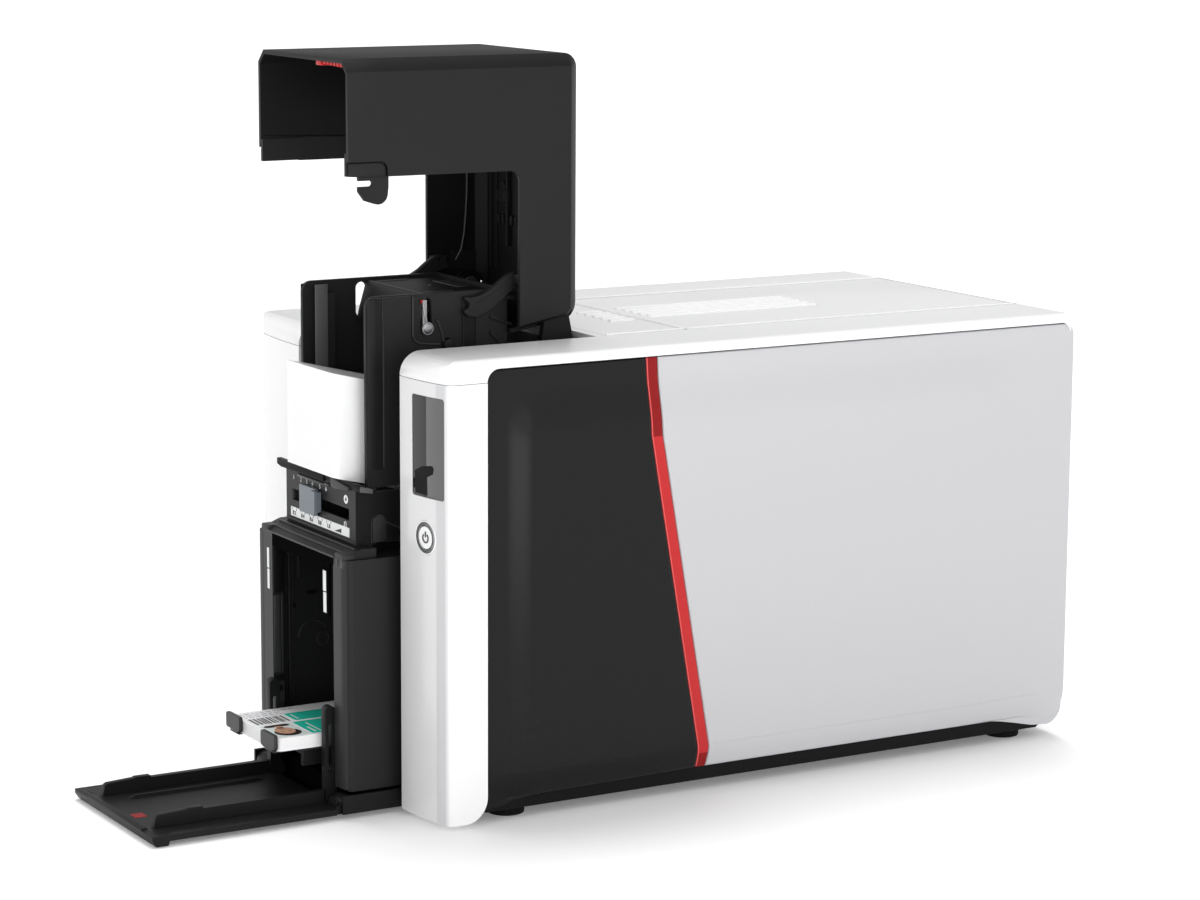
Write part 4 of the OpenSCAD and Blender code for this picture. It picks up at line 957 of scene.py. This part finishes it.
# ------------------------------------------------------------------ output hopper, inside and front trim
bm = bmesh.new()
rbox(-38.5, -38.15, -199.0, -114, 17, 122.4, 0.08, 1, bm=bm)
put("v_hopper_liner", from_bm(bm), "m_liner", "chassis", (), 40)
# painted shade: dark fills in the slits and holes of the hopper rim and side
bm = bmesh.new()
rbox(-26.6, -25.1, -210.8, -205.3, 95, 119.6, 0.4, 2, bm=bm)
rbox(-38.3, -37.4, -186.8, -181.2, 89.6, 91.2, 0.2, 1, bm=bm)
rbox(-26.6, -25.5, -210.9, -205.1, 50.4, 53.2, 0.3, 2, bm=bm)
lathe("x", [(0, -37.5), (1.9, -37.5), (2.3, -37.8), (2.3, -38.4), (0, -38.4)], (-190.4, 113.6), 28, bm=bm)
lathe("x", [(0, -37.9), (1.3, -37.9), (1.3, -38.4), (0, -38.4)], (-194, 84.7), 20, bm=bm)
lathe("x", [(0, -25.5), (1.7, -25.5), (1.7, -26.2), (0, -26.2)], (-207.6, 46.6), 24, bm=bm)
put("v_hopper_hole_shade", from_bm(bm), "m_dark", "chassis", (), 40)
bm = bmesh.new()
rbox(-26.6, -25.5, -210.6, -207.0, 54.6, 94, 0.3, 2, bm=bm)
rbox(-26.4, -25.8, -206.4, -205.6, 54.6, 94, 0.2, 1, bm=bm)
rbox(-38.4, -36.4, -197.4, -196.4, 37, 118, 0.3, 2, bm=bm)
rbox(-38.4, -37.2, -195.2, -194.6, 37, 116, 0.2, 1, bm=bm)
rbox(-38.3, -37.2, -191.9, -190.6, 98.4, 109.8, 0.3, 2, bm=bm)
rbox(-38.3, -37.0, -187.6, -185.4, 111.2, 114.6, 0.3, 2, bm=bm)
prism("x", [(-210.8, 18), (-210.8, 46.6)] + arc(-207.8, 46.8, 3, 180, 90, 6) + [(-205.2, 49.8), (-205.2, 18)], -26.6, -25.6, 0.3, 2, bm=bm)
rbox(-38.3, -37.6, -172.4, -171.4, 38, 106, 0.2, 1, bm=bm)
rbox(-36.5, 50.5, -207.4, -206.5, 127.3, 128.5, 0.3, 2, bm=bm)
rbox(-34.5, 48.5, -203.2, -202.4, 129.2, 130.3, 0.3, 2, bm=bm)
rbox(46, 48, -211.3, -209, 122.6, 125.6, 0.3, 2, bm=bm)
rbox(50.6, 53, -211.2, -209, 121.8, 125.6, 0.3, 2, bm=bm)
caps = bmesh.new()
rbox(43.5, 53.4, -210.9, -204.8, 125.4, 128.4, 0.8, 3, bm=caps)
rbox(-38.9, -30.5, -210.9, -204.8, 125.4, 128.4, 0.8, 3, bm=caps)
rbox(-41, -35.5, -211.0, -205.8, 13.5, 125.5, 0.8, 3, bm=caps)
put("v_hopper_caps", from_bm(caps), "m_hop_front", "chassis", (), 40)
# painted shade: a dark strip over the top member of the hopper's front frame
caps = bmesh.new()
rbox(-25.6, 38.0, -211.2, -210.6, 119.2, 125.3, 0.15, 2, bm=caps)
rbox(38.0, 43.0, -211.2, -210.6, 122.2, 125.3, 0.15, 2, bm=caps)
put("v_hopper_shade", from_bm(caps), "m_void", "chassis", (), 40)
put("v_hopper_trim", join_me(from_bm(bm), tube([(-30.5, -211.1, 126.0), (43.5, -211.1, 126.0)], 0.45),
                             tube([(-38.2, -183.4 + 8 * math.cos(a), 68 + 8 * math.sin(a)) for a in [0.4 + 0.25 * i for i in range(12)]], 0.4),
                             tube([(-38.2, -178 + 3.4 * math.cos(a), 66 + 3.4 * math.sin(a)) for a in [0.5 * i for i in range(13)]], 0.35)), "m_mid", "chassis", (), 40)
# a dark strip on the hopper front; painted shade: dark blocks under the hopper and a dark plate on the floor below it
bm = bmesh.new()
rbox(24.4, 31.6, -208.2, -206.9, 94.2, 122.7, 0.4, 2, bm=bm)
for x0, x1, y0 in ((-34, -27.4, -205.0), (-19.4, 35.6, -206.0), (43.6, 51.5, -203)):
    rbox(x0, x1, y0, -163.5, 3.4, 13.3, 0.4, 2, bm=bm)
rbox(-38, 43.5, -209.5, -163.5, 0.8, 2.2, 0.3, 2, bm=bm)
put("v_exit_flap_and_under_shade", from_bm(bm), "m_void", "chassis", (), 40)
bm = bmesh.new()
rbox(26.0, 29.2, -208.42, -208.0, 95.6, 105.6, 0.15, 2, bm=bm)
rbox(25.7, 29.0, -208.42, -208.0, 106.1, 116.2, 0.15, 2, bm=bm)
rbox(-31.5, -29.3, -211.2, -210.8, 96.6, 106.6, 0.15, 2, bm=bm)
rbox(-31.7, -29.5, -211.2, -210.8, 107.1, 117.2, 0.15, 2, bm=bm)
put("v_exit_marks", from_bm(bm), "m_label", "chassis", (), 40)

# ------------------------------------------------------------------ output door
bm = bmesh.new()
prism("x", [(-311.2, 5.1), (-311.2, 5.4), (-310.2, 5.55), (-308.2, 5.55), (-307.6, 5.1)], -40.8, 54.8, 0.1, 2, bm=bm)
prism("x", [(-311.2, 5.2), (-311.2, 6.1), (-310.2, 6.7), (-308.2, 6.7), (-307.6, 5.2)], -24, 42, 0.25, 2, bm=bm)
prism("x", [(-301.8, 5.0), (-300.4, 5.6), (-281.4, 5.6), (-279.4, 5.0)], 50.2, 54.4, 0.15, 2, bm=bm)
prism("x", [(-278, 5.0), (-278, 5.55), (-219, 5.55), (-219, 5.0)], 53.4, 54.8, 0.15, 2, bm=bm)
prism("x", [(-308, 5.0), (-308, 5.55), (-219, 5.55), (-219, 5.0)], -40.8, -39.6, 0.15, 2, bm=bm)
rbox(-39.4, -26, -307.4, -305.4, 5.0, 5.55, 0.15, 2, bm=bm)
for x in (43.2, 46.4, 49.6):
    prism("x", [(-215.8, 5.4), (-212.6, 5.4), (-212.0, 8.6), (-213.6, 9.2)], x, x + 1.6, 0.3, 2, bm=bm)
put("v_door_trim", from_bm(bm), "m_hood", "output_door", (), 40)
bm = bmesh.new()
rbox(14.5, 21.6, -305.4, -299.2, 5.35, 5.62, 0.1, 1, bm=bm)
put("v_door_red", from_bm(bm), "m_red_dark", "output_door", (), 40)

bm = bmesh.new()
rbox(-17, 31, -222, -152, 29.4, 31.45, 0.4, 2, bm=bm)
for x in (-19.2, 21.0):
    rbox(x, x + 12.4, -238.6, -237.5, 33.4, 39.2, 0.5, 2, bm=bm)
    rbox(x + 1, x + 11, -238.2, -221, 30.5, 31.4, 0.3, 2, bm=bm)
    rbox(x + 1, x + 11, -238.4, -237.4, 30.5, 34, 0.3, 2, bm=bm)
put("v_tray_deck", from_bm(bm), "m_mid", BODY["card_tray"], (), 40)

# ------------------------------------------------------------------ print on the top card
ZC = 38.0


def flat_me(pts, z0=ZC, h=0.05):
    return from_bm(prism("z", pts, z0 - 0.02, z0 + h, 0, 0))


def ell(cx, cy, rx, ry, n=40):
    return [(cx + rx * math.cos(2 * math.pi * i / n), cy + ry * math.sin(2 * math.pi * i / n)) for i in range(n)]


def shapes(name, mat, mes):
    me = mes[0] if len(mes) == 1 else join_me(*mes)
    put(name, me, mat, BODY["printed_cards"], (), None)


shapes("v_print_field", "m_teal", [flat_me(rrect(8.2, 32.0, -217.4, -196.4, 1.2)), flat_me(rrect(-8.4, 5.8, -214.2, -192.4, 1.0))])
shapes("v_print_back", "m_pale", [flat_me(rrect(9.0, 32.4, -235.4, -218.8, 1.6), h=0.03), flat_me(rrect(20, 29.6, -215.2, -214.0, 0.3), h=0.08), flat_me(rrect(12, 29.6, -212.2, -211.4, 0.3), h=0.08), flat_me(rrect(-6, 3.6, -212.0, -211.2, 0.3), h=0.08)])
shapes("v_print_hair", "m_hair", [flat_me(ell(24.4, -227.0, 6.6, 6.6), h=0.05), flat_me(rrect(9.2, 13.2, -233.6, -220.4, 1.8), h=0.05)])
shapes("v_print_face", "m_skin", [flat_me(ell(21.0, -227.0, 6.2, 4.9), h=0.07), flat_me(rrect(12.2, 16.6, -228.8, -225.2, 0.8), h=0.07)])
shapes("v_print_lines", "m_hair", [flat_me(ell(22.6, -229.0, 0.4, 0.8, 16), h=0.09), flat_me(ell(22.6, -225.0, 0.4, 0.8, 16), h=0.09), flat_me(rrect(18.0, 18.5, -228.3, -225.7, 0.2), h=0.09)])
bars = []
y = -234.4
while y < -217.2:
    wd = rnd.choice((0.45, 0.7, 1.0, 1.4))
    bars.append(flat_me(rrect(-6.2, 5.4, y, min(y + wd, -216.6), 0.12, 2), h=0.05))
    y += wd + rnd.choice((0.5, 0.8, 1.1))
shapes("v_print_bars", "m_ring", bars)
rows = []
for x, y1 in ((-10.4, -213), (-13.6, -217), (-17.0, -206)):
    y = -234.2
    while y < y1:
        wd = rnd.choice((1.4, 2.2, 3.0))
        rows.append(flat_me(rrect(x, x + 1.5, y, y + wd, 0.3, 2), h=0.05))
        y += wd + 0.9
shapes("v_print_text", "m_card_grey", rows)

# ------------------------------------------------------------------ floor, world, lights, camera
bm = bmesh.new()
bmesh.ops.create_grid(bm, x_segments=8, y_segments=8, size=40)
me = bpy.data.meshes.new("floor")
bm.to_mesh(me)
bm.free()
me.materials.append(MATS["m_floor"])
floor = bpy.data.objects.new("floor", me)
bpy.context.scene.collection.objects.link(floor)

w = bpy.data.worlds.new("studio")
bpy.context.scene.world = w
w.use_nodes = True
wt = w.node_tree
bg = wt.nodes["Background"]
bg.inputs[1].default_value = 1.0
tc = wt.nodes.new("ShaderNodeTexCoord")
sep = wt.nodes.new("ShaderNodeSeparateXYZ")
wt.links.new(tc.outputs["Generated"], sep.inputs[0])
ramp = wt.nodes.new("ShaderNodeValToRGB")
ramp.color_ramp.elements[0].position = 0.0
ramp.color_ramp.elements[0].color = (0.97, 0.97, 0.975, 1)
ramp.color_ramp.elements[1].position = 0.9
ramp.color_ramp.elements[1].color = (0.36, 0.36, 0.363, 1)
wt.links.new(sep.outputs["Z"], ramp.inputs[0])
dot = wt.nodes.new("ShaderNodeVectorMath")
dot.operation = "DOT_PRODUCT"
dot.inputs[1].default_value = (0.93, 0.30, 0.10)
wt.links.new(tc.outputs["Generated"], dot.inputs[0])
box = wt.nodes.new("ShaderNodeVectorMath")
box.operation = "DOT_PRODUCT"
box.inputs[1].default_value = (0.987, 0.05, 0.15)
wt.links.new(tc.outputs["Generated"], box.inputs[0])
bx = wt.nodes.new("ShaderNodeMapRange")
bx.interpolation_type = "SMOOTHSTEP"
bx.inputs["From Min"].default_value = 0.925
bx.inputs["From Max"].default_value = 0.985
bx.inputs["To Min"].default_value = 0.0
bx.inputs["To Max"].default_value = 0.5
wt.links.new(box.outputs["Value"], bx.inputs["Value"])
add = wt.nodes.new("ShaderNodeMath")
add.operation = "ADD"
wt.links.new(bx.outputs["Result"], add.inputs[1])
mr = wt.nodes.new("ShaderNodeMapRange")
mr.inputs["From Min"].default_value = -1.0
mr.inputs["From Max"].default_value = 1.0
mr.inputs["To Min"].default_value = 0.72
mr.inputs["To Max"].default_value = 1.16
wt.links.new(dot.outputs["Value"], mr.inputs["Value"])
mul = wt.nodes.new("ShaderNodeVectorMath")
mul.operation = "SCALE"
wt.links.new(ramp.outputs[0], mul.inputs[0])
wt.links.new(mr.outputs["Result"], add.inputs[0])
wt.links.new(add.outputs[0], mul.inputs["Scale"])
wt.links.new(mul.outputs["Vector"], bg.inputs[0])


def sun(name, d, energy, angle, col=(1, 1, 1)):
    li = bpy.data.lights.new(name, "SUN")
    li.energy = energy
    li.angle = math.radians(angle)
    li.color = col
    o = bpy.data.objects.new(name, li)
    bpy.context.scene.collection.objects.link(o)
    o.rotation_mode = "QUATERNION"
    o.rotation_quaternion = (-Vector(d)).to_track_quat("-Z", "Y")
    return o


sun("key", (-0.80, -0.58, 0.52), 0.4, 50)
sun("top", (-0.26, 0.10, 0.96), 1.45, 26)
sp = bpy.data.lights.new("pool", "SPOT")
sp.energy = 430
sp.spot_size = math.radians(31)
sp.spot_blend = 0.35
sp.shadow_soft_size = 0.05
so = bpy.data.objects.new("pool", sp)
bpy.context.scene.collection.objects.link(so)
so.location = (1.08, -0.27, 1.6)
sun("side", (0.88, -0.25, 0.45), 0.9, 80)

cam = bpy.data.cameras.new("camera")
co = bpy.data.objects.new("camera", cam)
bpy.context.scene.collection.objects.link(co)
AZ, EL, RO = math.radians(59.51), math.radians(9.99), math.radians(0.31)
back = Vector((math.sin(AZ) * math.cos(EL), -math.cos(AZ) * math.cos(EL), math.sin(EL)))
right = Vector((math.cos(AZ), math.sin(AZ), 0))
up = right.cross(-back)
r2 = right * math.cos(RO) + up * math.sin(RO)
u2 = up * math.cos(RO) - right * math.sin(RO)
M = Matrix((r2, u2, back)).transposed().to_4x4()
M.translation = Vector((1.45418, -0.83238, 0.45352))
co.matrix_world = M
cam.sensor_width = 36
cam.lens = 100.868
cam.clip_start, cam.clip_end = 0.01, 200
bpy.context.scene.camera = co
bpy.context.scene.view_settings.view_transform = "Standard"
